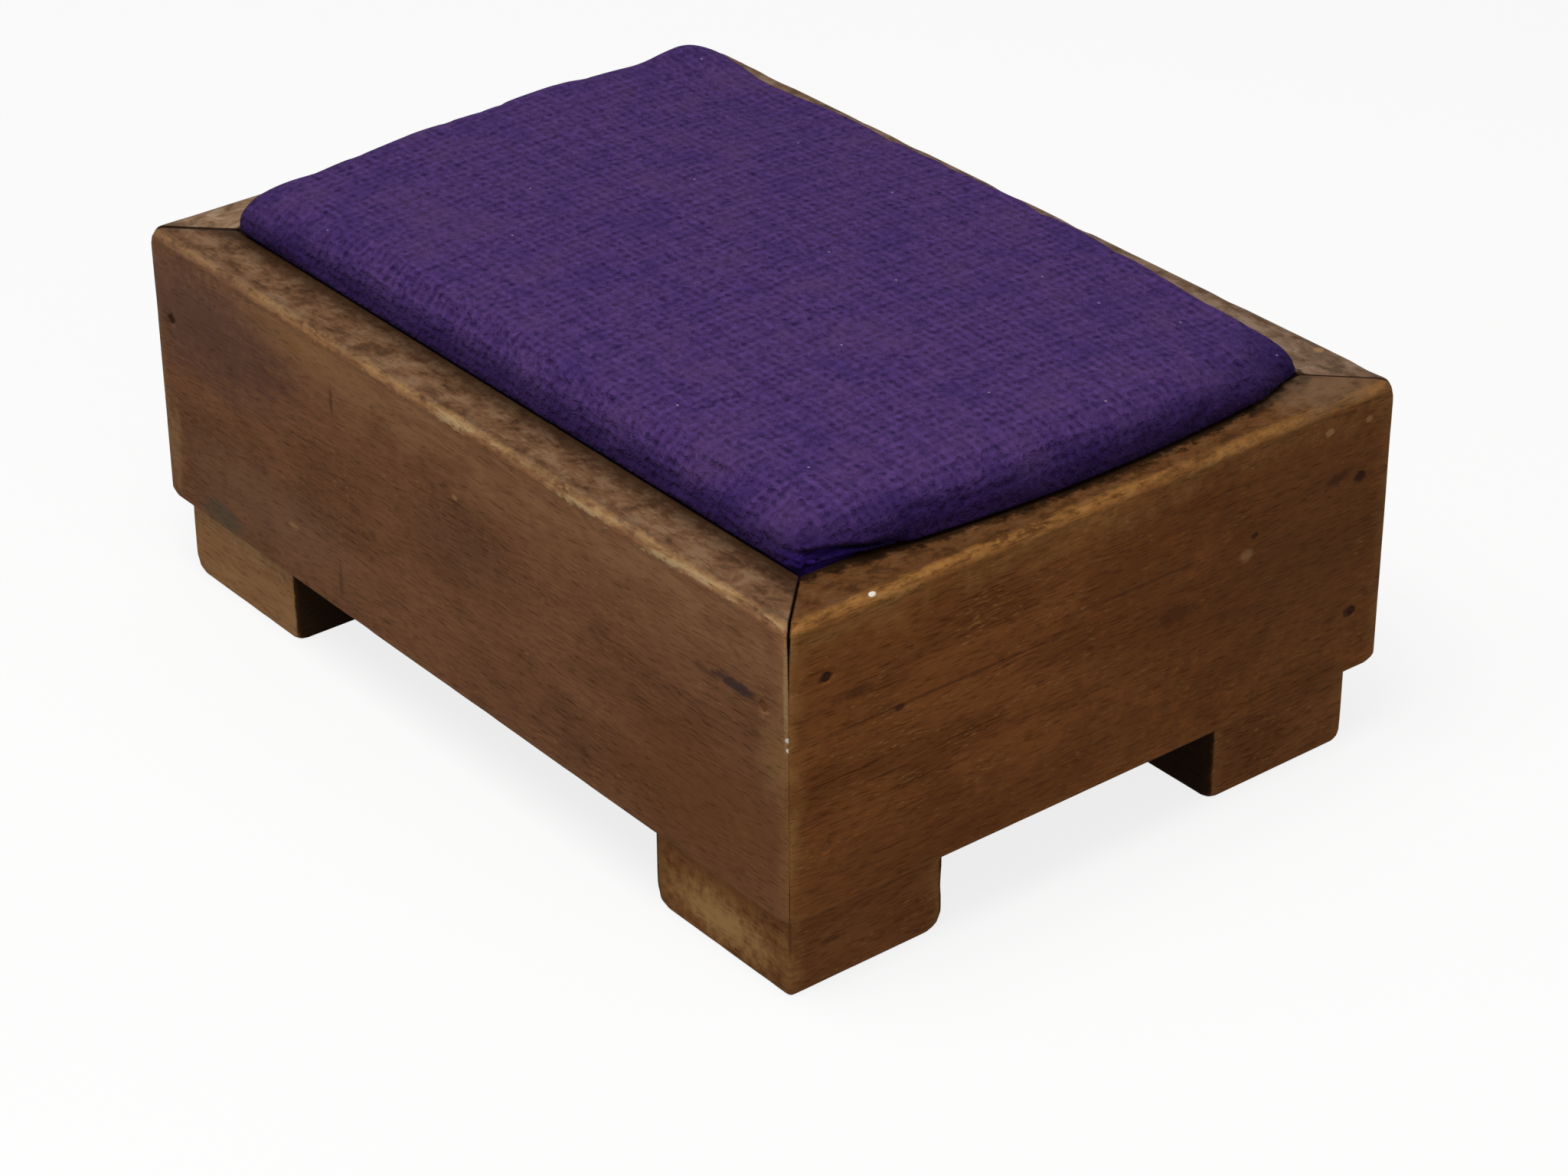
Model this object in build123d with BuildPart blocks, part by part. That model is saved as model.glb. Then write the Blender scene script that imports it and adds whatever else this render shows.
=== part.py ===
from build123d import *
import math
import os

# Footstool: a mitred box of four rails on four block feet, with a drop-in upholstered seat.
# Sizes are in millimetres. X runs along the long side, Y along the short side and Z up.
# The origin is on the floor, under the middle of the box.

# Mitred box
stool_length = 356.0
stool_width = 252.0
rail_height = 105.0
rail_thickness = 22.0
corner_round = 4.0
rim_round = 3.5
rail_foot_round = 1.0
well_edge_round = 1.0

# Block feet, set in from the faces of the box, a little further at the back
foot_length = 68.0
foot_width = 61.5
foot_height = 31.0
foot_end_inset = 6.0
foot_front_inset = 5.0
foot_back_inset = 8.5
foot_corner_round = 4.0
foot_base_round = 3.0

# Glue blocks in the corners, standing on the feet
block_length = 32.0
block_width = 32.0
block_height = 60.0
block_chamfer = 8.0

# Battens that carry the seat
batten_thickness = 15.0
batten_height = 15.0
batten_edge_break = 1.5

# Seat board, pad and cover
board_thickness = 9.0
board_below_rim = 3.0
cover_thickness = 1.2
seat_gap = 1.0
overhang_gap = 0.5
crown_height = 20.0
crown_drop_along = 4.0
crown_drop_across = 3.0
right_side_bulge = 11.5
left_side_bulge = 3.5
long_side_bulge = 0.8
pad_edge_round = 7.0
pad_lower_round = 3.0
wrap_gap = 0.2

# Nails through the mitres, punched below the face and filled over
nail_length = 42.0
nail_radius = 1.1
nail_head_radius = 1.7
nail_head_length = 2.0
nail_tip_length = 3.0
end_nail_setback = 14.4
side_nail_setback = 11.8
low_nail_height = 24.0
front_end_nail_height = 83.7
back_end_nail_height = 74.5
front_side_nail_height = 73.5
back_side_nail_height = 61.0
punch_depth = 2.5
filler_sink = 0.2
nail_clearance = 0.05

# Wood screws through the feet into the glue blocks
screw_length = 45.0
screw_radius = 2.1
screw_head_radius = 4.0
screw_head_height = 2.6
screw_head_rise = 0.8
screw_tip_length = 5.0
screw_slot_width = 1.0
screw_slot_depth = 1.1
screw_spread = 7.0
screw_bore_depth = 9.0
screw_bore_radius = 5.0
screw_clearance = 0.05

# Pins through the battens into the rails
pin_length = 25.0
pin_radius = 0.6
pin_head_radius = 1.1
pin_head_length = 1.0
pin_tip_length = 1.5
pin_clearance = 0.05
pin_end_distance = 30.0
long_batten_pins = 4
short_batten_pins = 3

# Tacks that hold the turned-under cloth to the board
tack_length = 8.0
tack_radius = 0.9
tack_head_radius = 3.2
tack_head_height = 1.2
tack_point_length = 6.0
tack_clearance = 0.05
tack_batten_gap = 1.5
tack_hem_margin = 8.0
long_tack_count = 7
short_tack_count = 5

# Levels and half sizes that follow from the sizes above
rim_height = foot_height + rail_height
half_length = stool_length / 2
half_width = stool_width / 2
well_half_length = half_length - rail_thickness
well_half_width = half_width - rail_thickness
board_top = rim_height - board_below_rim
board_bottom = board_top - board_thickness
batten_top = board_bottom - cover_thickness
seat_half_length = well_half_length - seat_gap
seat_half_width = well_half_width - seat_gap
crown_top = rim_height + crown_height
nail_bore_depth = punch_depth + nail_head_length

corner_signs = {
    "front_left": (-1, -1),
    "front_right": (1, -1),
    "back_right": (1, 1),
    "back_left": (-1, 1),
}
rail_corners = {
    "front_rail": ("front_left", "front_right"),
    "right_rail": ("front_right", "back_right"),
    "back_rail": ("back_right", "back_left"),
    "left_rail": ("back_left", "front_left"),
}

os.makedirs("parts", exist_ok=True)


def spread(count, reach):
    """Even places from -reach to reach."""
    step = 2 * reach / (count - 1)
    return [index * step - reach for index in range(count)]


def arc_radius(half_chord, rise):
    """Radius of the arc that rises this much over a chord."""
    return (half_chord**2 + rise**2) / (2 * rise)


def mitre_nail_planes():
    """Entry planes of the nails: two through each end of the short rails, one through the long ones."""
    planes = []
    for sign_x, sign_y in corner_signs.values():
        high_nail_height = back_end_nail_height if sign_y > 0 else front_end_nail_height
        side_nail_height = back_side_nail_height if sign_y > 0 else front_side_nail_height
        for nail_height in (low_nail_height, high_nail_height):
            entry = (sign_x * half_length, sign_y * (half_width - end_nail_setback), foot_height + nail_height)
            planes.append(Plane(origin=entry, z_dir=(sign_x, 0, 0)))
        entry = (sign_x * (half_length - side_nail_setback), sign_y * half_width, foot_height + side_nail_height)
        planes.append(Plane(origin=entry, z_dir=(0, sign_y, 0)))
    return planes


def batten_pin_planes():
    """Entry planes of the pins, on the inner faces of the battens."""
    planes = []
    pin_level = batten_top - batten_height / 2
    for side in (-1, 1):
        for along in spread(long_batten_pins, well_half_length - pin_end_distance):
            entry = (along, side * (well_half_width - batten_thickness), pin_level)
            planes.append(Plane(origin=entry, z_dir=(0, -side, 0)))
        for across in spread(short_batten_pins, well_half_width - batten_thickness - pin_end_distance):
            entry = (side * (well_half_length - batten_thickness), across, pin_level)
            planes.append(Plane(origin=entry, z_dir=(-side, 0, 0)))
    return planes


def tack_planes():
    """Entry planes of the tacks, under the hem and clear of the battens."""
    tack_inset = batten_thickness + tack_batten_gap + tack_head_radius
    reach_along = well_half_length - tack_inset
    reach_across = well_half_width - tack_inset
    places = []
    for side in (-1, 1):
        places += [(along, side * reach_across) for along in spread(long_tack_count, reach_along)]
        places += [(side * reach_along, across) for across in spread(short_tack_count, reach_across)[1:-1]]
    return [Plane(origin=(along, across, batten_top), z_dir=(0, 0, -1)) for along, across in places]


def foot_screw_planes(sign_x, sign_y):
    """Entry planes of one foot's two screws, on a diagonal under its glue block."""
    middle_along = well_half_length - block_length / 2
    middle_across = well_half_width - block_width / 2
    planes = []
    for shift in (-screw_spread, screw_spread):
        entry = (sign_x * (middle_along + shift), sign_y * (middle_across - shift), 0)
        planes.append(Plane(origin=entry, z_dir=(0, 0, -1)))
    return planes


nail_planes = mitre_nail_planes()
pin_planes = batten_pin_planes()
tack_entry_planes = tack_planes()

# Outer form of the box, rounded on its corners and rim
with BuildPart() as box_form:
    with BuildSketch(Plane.XY.offset(foot_height)):
        RectangleRounded(stool_length, stool_width, corner_round)
    extrude(amount=rail_height)
    fillet(box_form.faces().sort_by(Axis.Z)[-1].edges(), min(rim_round, 0.95 * corner_round))
    fillet(box_form.faces().sort_by(Axis.Z)[0].edges(), min(rail_foot_round, 0.95 * corner_round))

# Four rails, cut from the box form by their mitres
for rail_name, (first_corner, second_corner) in rail_corners.items():
    first_x, first_y = corner_signs[first_corner]
    second_x, second_y = corner_signs[second_corner]
    with BuildPart() as rail:
        with BuildSketch(Plane.XY.offset(foot_height)):
            with BuildLine():
                Polyline(
                    (first_x * half_length, first_y * half_width),
                    (second_x * half_length, second_y * half_width),
                    (second_x * well_half_length, second_y * well_half_width),
                    (first_x * well_half_length, first_y * well_half_width),
                    close=True,
                )
            make_face()
        extrude(amount=rail_height)
        add(box_form.part, mode=Mode.INTERSECT)
        rim_face = rail.faces().sort_by(Axis.Z)[-1]
        fillet(rim_face.edges().sort_by_distance((0, 0, rim_height))[0], well_edge_round)
        with Locations(*nail_planes):
            CounterBoreHole(
                radius=nail_radius + nail_clearance,
                counter_bore_radius=nail_head_radius + nail_clearance,
                counter_bore_depth=nail_bore_depth,
                depth=punch_depth + nail_length,
            )
        with Locations(*pin_planes):
            Hole(radius=pin_radius + pin_clearance, depth=pin_length)
    rail.part.label = rail_name
    export_step(rail.part, f"parts/{rail_name}.step")

# A foot and a glue block in each corner, and the screws that join them
screw_entry_planes = []
for corner_name, (sign_x, sign_y) in corner_signs.items():
    corner_screws = foot_screw_planes(sign_x, sign_y)
    screw_entry_planes += corner_screws
    foot_side_inset = foot_back_inset if sign_y > 0 else foot_front_inset
    foot_middle = Location(
        (
            sign_x * (half_length - foot_end_inset - foot_length / 2),
            sign_y * (half_width - foot_side_inset - foot_width / 2),
            0,
        )
    )
    with BuildPart() as foot:
        with BuildSketch(Plane(foot_middle)):
            RectangleRounded(foot_length, foot_width, foot_corner_round)
        extrude(amount=foot_height)
        fillet(foot.faces().sort_by(Axis.Z)[0].edges(), min(foot_base_round, 0.95 * foot_corner_round))
        with Locations(*corner_screws):
            CounterBoreHole(
                radius=screw_radius + screw_clearance,
                counter_bore_radius=screw_bore_radius,
                counter_bore_depth=screw_bore_depth,
                depth=screw_bore_depth + screw_length,
            )
    foot.part.label = f"{corner_name}_foot"
    export_step(foot.part, f"parts/{corner_name}_foot.step")

    block_middle = Location(
        (
            sign_x * (well_half_length - block_length / 2),
            sign_y * (well_half_width - block_width / 2),
            foot_height,
        )
    )
    with BuildPart() as block:
        with BuildSketch(Plane(block_middle)):
            Rectangle(block_length, block_width)
        extrude(amount=block_height)
        inner_edge = block.edges().filter_by(Axis.Z).sort_by_distance((0, 0, foot_height))[0]
        chamfer(inner_edge, block_chamfer)
        with Locations(*corner_screws):
            Hole(radius=screw_radius + screw_clearance, depth=screw_bore_depth + screw_length)
    block.part.label = f"{corner_name}_corner_block"
    export_step(block.part, f"parts/{corner_name}_corner_block.step")

# Four battens, the short ones between the long ones
batten_places = {
    "front_seat_batten": (0, -1),
    "back_seat_batten": (0, 1),
    "left_seat_batten": (-1, 0),
    "right_seat_batten": (1, 0),
}
for batten_name, (sign_x, sign_y) in batten_places.items():
    if sign_y:
        batten_size = (2 * well_half_length, batten_thickness)
    else:
        batten_size = (batten_thickness, 2 * (well_half_width - batten_thickness))
    batten_middle = Location(
        (
            sign_x * (well_half_length - batten_thickness / 2),
            sign_y * (well_half_width - batten_thickness / 2),
            batten_top - batten_height,
        )
    )
    with BuildPart() as batten:
        with BuildSketch(Plane(batten_middle)):
            Rectangle(*batten_size)
        extrude(amount=batten_height)
        lower_face = batten.faces().sort_by(Axis.Z)[0]
        inner_edge = lower_face.edges().sort_by_distance((0, 0, batten_top - batten_height))[0]
        chamfer(inner_edge, batten_edge_break)
        with Locations(*pin_planes):
            CounterBoreHole(
                radius=pin_radius + pin_clearance,
                counter_bore_radius=pin_head_radius + pin_clearance,
                counter_bore_depth=pin_head_length,
                depth=pin_length,
            )
    batten.part.label = batten_name
    export_step(batten.part, f"parts/{batten_name}.step")

# Mitre nails, and the filler over their heads
with BuildPart() as nail:
    with BuildSketch(Plane.XZ):
        with BuildLine():
            Polyline(
                (0, 0),
                (nail_head_radius, 0),
                (nail_head_radius, -nail_head_length),
                (nail_radius, -nail_head_length),
                (nail_radius, nail_tip_length - nail_length),
                (0, -nail_length),
                close=True,
            )
        make_face()
    revolve(axis=Axis.Z)

with BuildPart() as mitre_nails:
    with Locations(*[plane.offset(-punch_depth) for plane in nail_planes]):
        add(nail.part)
mitre_nails.part.label = "mitre_nails"
export_step(mitre_nails.part, "parts/mitre_nails.step")

with BuildPart() as nail_hole_filler:
    with Locations(*[plane.offset(-punch_depth) for plane in nail_planes]):
        Cylinder(
            radius=nail_head_radius,
            height=punch_depth - filler_sink,
            align=(Align.CENTER, Align.CENTER, Align.MIN),
        )
nail_hole_filler.part.label = "nail_hole_filler"
export_step(nail_hole_filler.part, "parts/nail_hole_filler.step")

# Slotted screws with low domed heads, seated at the bottom of their bores in the feet
with BuildPart() as screw:
    with BuildSketch(Plane.XZ):
        with BuildLine():
            dome = ThreePointArc(
                (-screw_head_radius, screw_head_height - screw_head_rise),
                (0, screw_head_height),
                (screw_head_radius, screw_head_height - screw_head_rise),
            )
            Polyline(
                dome @ 1,
                (screw_head_radius, 0),
                (screw_radius, 0),
                (screw_radius, screw_tip_length - screw_length),
                (0, -screw_length),
                (-screw_radius, screw_tip_length - screw_length),
                (-screw_radius, 0),
                (-screw_head_radius, 0),
                dome @ 0,
            )
        make_face()
        split(bisect_by=Plane.YZ)
    revolve(axis=Axis.Z)
    with BuildSketch(Plane.XY.offset(screw_head_height)):
        Rectangle(2 * screw_head_radius, screw_slot_width)
    extrude(amount=-screw_slot_depth, mode=Mode.SUBTRACT)

with BuildPart() as foot_screws:
    with Locations(*[plane.offset(-screw_bore_depth) for plane in screw_entry_planes]):
        add(screw.part)
foot_screws.part.label = "foot_screws"
export_step(foot_screws.part, "parts/foot_screws.step")

# Panel pins, their heads flush with the battens
with BuildPart() as pin:
    with BuildSketch(Plane.XZ):
        with BuildLine():
            Polyline(
                (0, 0),
                (pin_head_radius, 0),
                (pin_head_radius, -pin_head_length),
                (pin_radius, -pin_head_length),
                (pin_radius, pin_tip_length - pin_length),
                (0, -pin_length),
                close=True,
            )
        make_face()
    revolve(axis=Axis.Z)

with BuildPart() as batten_pins:
    with Locations(*pin_planes):
        add(pin.part)
batten_pins.part.label = "batten_pins"
export_step(batten_pins.part, "parts/batten_pins.step")


def crown_form(inset):
    """Body under the cushion's crowned top, which is curved along both sides, lowered by inset."""
    reach_along = seat_half_length + max(left_side_bulge, right_side_bulge)
    reach_across = seat_half_width + long_side_bulge
    radius_along = arc_radius(reach_along, crown_drop_along)
    turn = math.asin(1.2 * reach_along / radius_along)
    centre_level = crown_top - radius_along
    edge_radius = radius_along - inset
    side_level = board_bottom - centre_level - cover_thickness
    profile_plane = Plane(
        origin=(0, 0, centre_level),
        x_dir=(0, 1, 0),
        z_dir=(math.cos(turn), 0, math.sin(turn)),
    )
    with BuildPart() as crown:
        with BuildSketch(profile_plane):
            with BuildLine():
                crown_line = ThreePointArc(
                    (-reach_across, edge_radius - crown_drop_across),
                    (0, edge_radius),
                    (reach_across, edge_radius - crown_drop_across),
                )
                Polyline(
                    crown_line @ 1,
                    (reach_across, side_level),
                    (-reach_across, side_level),
                    crown_line @ 0,
                )
            make_face()
        revolve(axis=Axis((0, 0, centre_level), (0, 1, 0)), revolution_arc=math.degrees(2 * turn))
    return crown.part


def cushion_form(inset):
    """Whole cushion drawn in by inset: the part in the well and the crowned part that bulges over the rim."""
    crown = crown_form(inset)
    corner_x = seat_half_length - inset
    corner_y = seat_half_width - inset
    edge_round = pad_edge_round - inset
    lower_level = rim_height + overhang_gap + inset
    with BuildPart() as cushion:
        with BuildSketch(Plane.XY.offset(lower_level)):
            with BuildLine():
                for side, end_bulge in ((-1, left_side_bulge), (1, right_side_bulge)):
                    ThreePointArc(
                        (-corner_x, side * corner_y),
                        (0, side * (corner_y + long_side_bulge)),
                        (corner_x, side * corner_y),
                    )
                    ThreePointArc(
                        (side * corner_x, -corner_y),
                        (side * (corner_x + end_bulge), 0),
                        (side * corner_x, corner_y),
                    )
            make_face()
        extrude(amount=2 * crown_height)
        add(crown, mode=Mode.INTERSECT)
        top_edges = cushion.faces().sort_by(Axis.Z)[-1].edges()
        upright_edges = cushion.edges().filter_by(Axis.Z)
        fillet(top_edges + upright_edges, edge_round)
        fillet(cushion.faces().sort_by(Axis.Z)[0].edges(), pad_lower_round - inset)
        with BuildSketch(Plane.XY.offset(batten_top + inset)):
            RectangleRounded(2 * corner_x, 2 * corner_y, edge_round)
        extrude(amount=lower_level - batten_top - inset + pad_lower_round)
    return cushion.part


# Seat cover: cloth over the whole cushion, turned under the board and left open in the middle
cover_outside = cushion_form(0)
cover_inside = cushion_form(cover_thickness)
hem_reach = batten_thickness + tack_batten_gap + 2 * tack_head_radius + tack_hem_margin
with BuildPart() as seat_cover:
    add(cover_outside)
    add(cover_inside, mode=Mode.SUBTRACT)
    with BuildSketch(Plane.XY.offset(batten_top)):
        Rectangle(2 * (well_half_length - hem_reach), 2 * (well_half_width - hem_reach))
    extrude(amount=cover_thickness, mode=Mode.SUBTRACT)
    with Locations(*tack_entry_planes):
        Hole(radius=tack_radius + tack_clearance, depth=cover_thickness)
seat_cover.part.label = "seat_cover"
export_step(seat_cover.part, "parts/seat_cover.step")

# Seat board, wrapped by the cover
board_inset = cover_thickness + wrap_gap
with BuildPart() as seat_board:
    with BuildSketch(Plane.XY.offset(board_bottom)):
        RectangleRounded(
            2 * (seat_half_length - board_inset),
            2 * (seat_half_width - board_inset),
            pad_edge_round - board_inset,
        )
    extrude(amount=board_thickness)
    with Locations(*tack_entry_planes):
        Hole(radius=tack_radius + tack_clearance, depth=cover_thickness + tack_length)
seat_board.part.label = "seat_board"
export_step(seat_board.part, "parts/seat_board.step")

# Stuffing between the board and the cover
stuffing_form = cushion_form(cover_thickness + wrap_gap)
with BuildPart() as seat_stuffing:
    add(stuffing_form)
    split(bisect_by=Plane.XY.offset(board_top), keep=Keep.TOP)
seat_stuffing.part.label = "seat_stuffing"
export_step(seat_stuffing.part, "parts/seat_stuffing.step")

# Cut tacks with domed heads
with BuildPart() as tack:
    with BuildSketch(Plane.XZ):
        with BuildLine():
            tack_dome = ThreePointArc(
                (-tack_head_radius, 0),
                (0, tack_head_height),
                (tack_head_radius, 0),
            )
            Polyline(
                tack_dome @ 1,
                (tack_radius, 0),
                (tack_radius, tack_point_length - tack_length),
                (0, -tack_length),
                (-tack_radius, tack_point_length - tack_length),
                (-tack_radius, 0),
                tack_dome @ 0,
            )
        make_face()
        split(bisect_by=Plane.YZ)
    revolve(axis=Axis.Z)

with BuildPart() as cover_tacks:
    with Locations(*tack_entry_planes):
        add(tack.part)
cover_tacks.part.label = "cover_tacks"
export_step(cover_tacks.part, "parts/cover_tacks.step")
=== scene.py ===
"""Footstool: a mitred box of stained beech on block feet, with a drop-in seat in coarse purple cloth.

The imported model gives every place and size. This script models the worn rails and feet and the
upholstered seat around it, dresses the pieces that carry over, and sets the light and the camera.
Lengths are in metres, X runs along the long side, Y along the short side and Z up from the floor.
"""

import logging
import math
from dataclasses import dataclass, field
from enum import Enum
from typing import Callable, Optional, Sequence, Union

import bmesh
import bpy
from mathutils import Matrix, Vector, noise


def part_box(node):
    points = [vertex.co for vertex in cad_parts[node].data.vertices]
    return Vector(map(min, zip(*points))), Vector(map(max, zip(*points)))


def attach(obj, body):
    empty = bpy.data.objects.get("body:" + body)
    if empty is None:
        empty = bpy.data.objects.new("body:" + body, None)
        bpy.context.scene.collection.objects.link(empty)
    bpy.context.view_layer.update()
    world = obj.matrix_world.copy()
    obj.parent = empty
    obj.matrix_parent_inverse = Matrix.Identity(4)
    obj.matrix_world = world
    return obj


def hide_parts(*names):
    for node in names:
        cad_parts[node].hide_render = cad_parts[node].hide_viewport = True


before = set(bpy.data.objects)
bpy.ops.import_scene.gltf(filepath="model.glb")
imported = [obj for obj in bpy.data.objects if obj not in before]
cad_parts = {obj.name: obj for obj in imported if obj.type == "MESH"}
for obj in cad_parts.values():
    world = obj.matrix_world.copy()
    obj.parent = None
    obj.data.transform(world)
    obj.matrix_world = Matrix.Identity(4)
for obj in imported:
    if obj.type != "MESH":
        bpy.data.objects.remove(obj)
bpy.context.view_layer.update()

LOG = logging.getLogger("footstool")
MM = 0.001
BOW_MIDDLE = 8 * MM
BOW_REACH = 110 * MM
Colour = tuple[float, float, float]
Point = tuple[float, float, float]


class Side(Enum):
    """The four sides of the box, with the outward direction of each."""

    FRONT = (0, -1)
    RIGHT = (1, 0)
    BACK = (0, 1)
    LEFT = (-1, 0)

    @property
    def rail(self) -> str:
        """Name of the rail on this side."""
        return f"{self.name.lower()}_rail"

    @property
    def out(self) -> Vector:
        """Outward direction."""
        return Vector((*self.value, 0.0))

    @property
    def run(self) -> Vector:
        """Direction along the rail, with the outside at the right hand."""
        return Vector((-self.value[1], self.value[0], 0.0))

    @property
    def is_long(self) -> bool:
        """True for the two sides that run along X."""
        return self.value[0] == 0


class Corner(Enum):
    """The four corners of the box, with the signs of X and Y there."""

    FRONT_LEFT = (-1, -1)
    FRONT_RIGHT = (1, -1)
    BACK_RIGHT = (1, 1)
    BACK_LEFT = (-1, 1)

    @property
    def foot(self) -> str:
        """Name of the foot under this corner."""
        return f"{self.name.lower()}_foot"

    @property
    def block(self) -> str:
        """Name of the glue block in this corner."""
        return f"{self.name.lower()}_corner_block"


class Grain(Enum):
    """Which way the grain of a piece runs, as the turn about Z that lays it along X.

    A layered piece shows the same flat layers on all its sides.
    """

    ALONG_X = 0.0
    ALONG_Y = -math.pi / 2
    LAYERED = math.tau


def smooth_step(value: float, low: float, high: float) -> float:
    """Rise smoothly from 0 at low to 1 at high.

    Args:
        value: the number to place between the two.
        low: where the rise starts.
        high: where it ends.

    Returns:
        A share from 0 to 1.
    """
    share = min(max((value - low) / (high - low), 0.0), 1.0)
    return share * share * (3 - 2 * share)


def hump(distance: float, width: float) -> float:
    """Bell curve of a distance: 1 at 0, and about 0.37 at the width."""
    return math.exp(-((distance / width) ** 2))


class Value:
    """One varying number in a node tree. Python arithmetic on it adds Math nodes."""

    def __init__(self, shader: "Tree", socket: bpy.types.NodeSocket) -> None:
        """Wrap a socket of the shader's tree."""
        self.shader = shader
        self.socket = socket

    def _math(self, operation: str, *numbers: "Number") -> "Value":
        """Add one Math node on the numbers and wrap its result."""
        node = self.shader.node(
            "ShaderNodeMath", {"operation": operation}, dict(enumerate(numbers))
        )
        return Value(self.shader, node.outputs[0])

    def __add__(self, other: "Number") -> "Value":
        """Sum of the two."""
        return self._math("ADD", self, other)

    __radd__ = __add__

    def __sub__(self, other: "Number") -> "Value":
        """This less the other."""
        return self._math("SUBTRACT", self, other)

    def __rsub__(self, other: "Number") -> "Value":
        """The other less this."""
        return self._math("SUBTRACT", other, self)

    def __mul__(self, other: "Number") -> "Value":
        """Product of the two."""
        return self._math("MULTIPLY", self, other)

    __rmul__ = __mul__

    def __truediv__(self, other: "Number") -> "Value":
        """This over the other."""
        return self._math("DIVIDE", self, other)

    def __pow__(self, other: "Number") -> "Value":
        """This to the power of the other."""
        return self._math("POWER", self, other)

    def __abs__(self) -> "Value":
        """Size of this, without its sign."""
        return self._math("ABSOLUTE", self)

    def least(self, other: "Number") -> "Value":
        """The smaller of the two."""
        return self._math("MINIMUM", self, other)

    def most(self, other: "Number") -> "Value":
        """The larger of the two."""
        return self._math("MAXIMUM", self, other)

    def cosine(self) -> "Value":
        """Cosine of this angle in radians."""
        return self._math("COSINE", self)

    def root(self) -> "Value":
        """Square root of this."""
        return self._math("SQRT", self)

    def step(self, low: float, high: float) -> "Value":
        """Rise smoothly from 0 where this is low to 1 where it is high."""
        node = self.shader.node(
            "ShaderNodeMapRange",
            {"interpolation_type": "SMOOTHSTEP"},
            {"Value": self, "From Min": low, "From Max": high},
        )
        return Value(self.shader, node.outputs[0])

    def fade(self, low: float, high: float) -> "Value":
        """Fall smoothly from 1 where this is low to 0 where it is high."""
        return 1.0 - self.step(low, high)


Number = Union[Value, float]
Sizes = Union[Point, float]


class Tree:
    """A node tree under construction."""

    def __init__(self, tree: bpy.types.NodeTree) -> None:
        """Start with the tree emptied."""
        self.tree = tree
        self.tree.nodes.clear()

    def node(
        self,
        kind: str,
        settings: Optional[dict] = None,
        sockets: Optional[dict] = None,
    ) -> bpy.types.Node:
        """Add one node, set it up and feed it.

        Args:
            kind: the node's type.
            settings: attributes of the node, set first.
            sockets: values or links by the input's name or place.

        Returns:
            The new node.
        """
        node = self.tree.nodes.new(kind)
        for name, setting in (settings or {}).items():
            setattr(node, name, setting)
        for name, given in (sockets or {}).items():
            self.feed(node.inputs[name], given)
        return node

    def feed(self, socket: bpy.types.NodeSocket, given: object) -> None:
        """Link a value or socket to an input, or set a constant on it."""
        if isinstance(given, Value):
            self.tree.links.new(given.socket, socket)
        elif isinstance(given, bpy.types.NodeSocket):
            self.tree.links.new(given, socket)
        elif socket.type == "RGBA" and len(given) == 3:
            socket.default_value = (*given, 1.0)
        else:
            socket.default_value = given

    def seen(self) -> Value:
        """1 for what the camera sees, also in metal or through glass, and 0 for light on its way."""
        path = self.node("ShaderNodeLightPath").outputs
        names = ("Is Camera Ray", "Is Glossy Ray", "Is Transmission Ray")
        direct, mirrored, through = (Value(self, path[name]) for name in names)
        return direct.most(mirrored).most(through)


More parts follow.
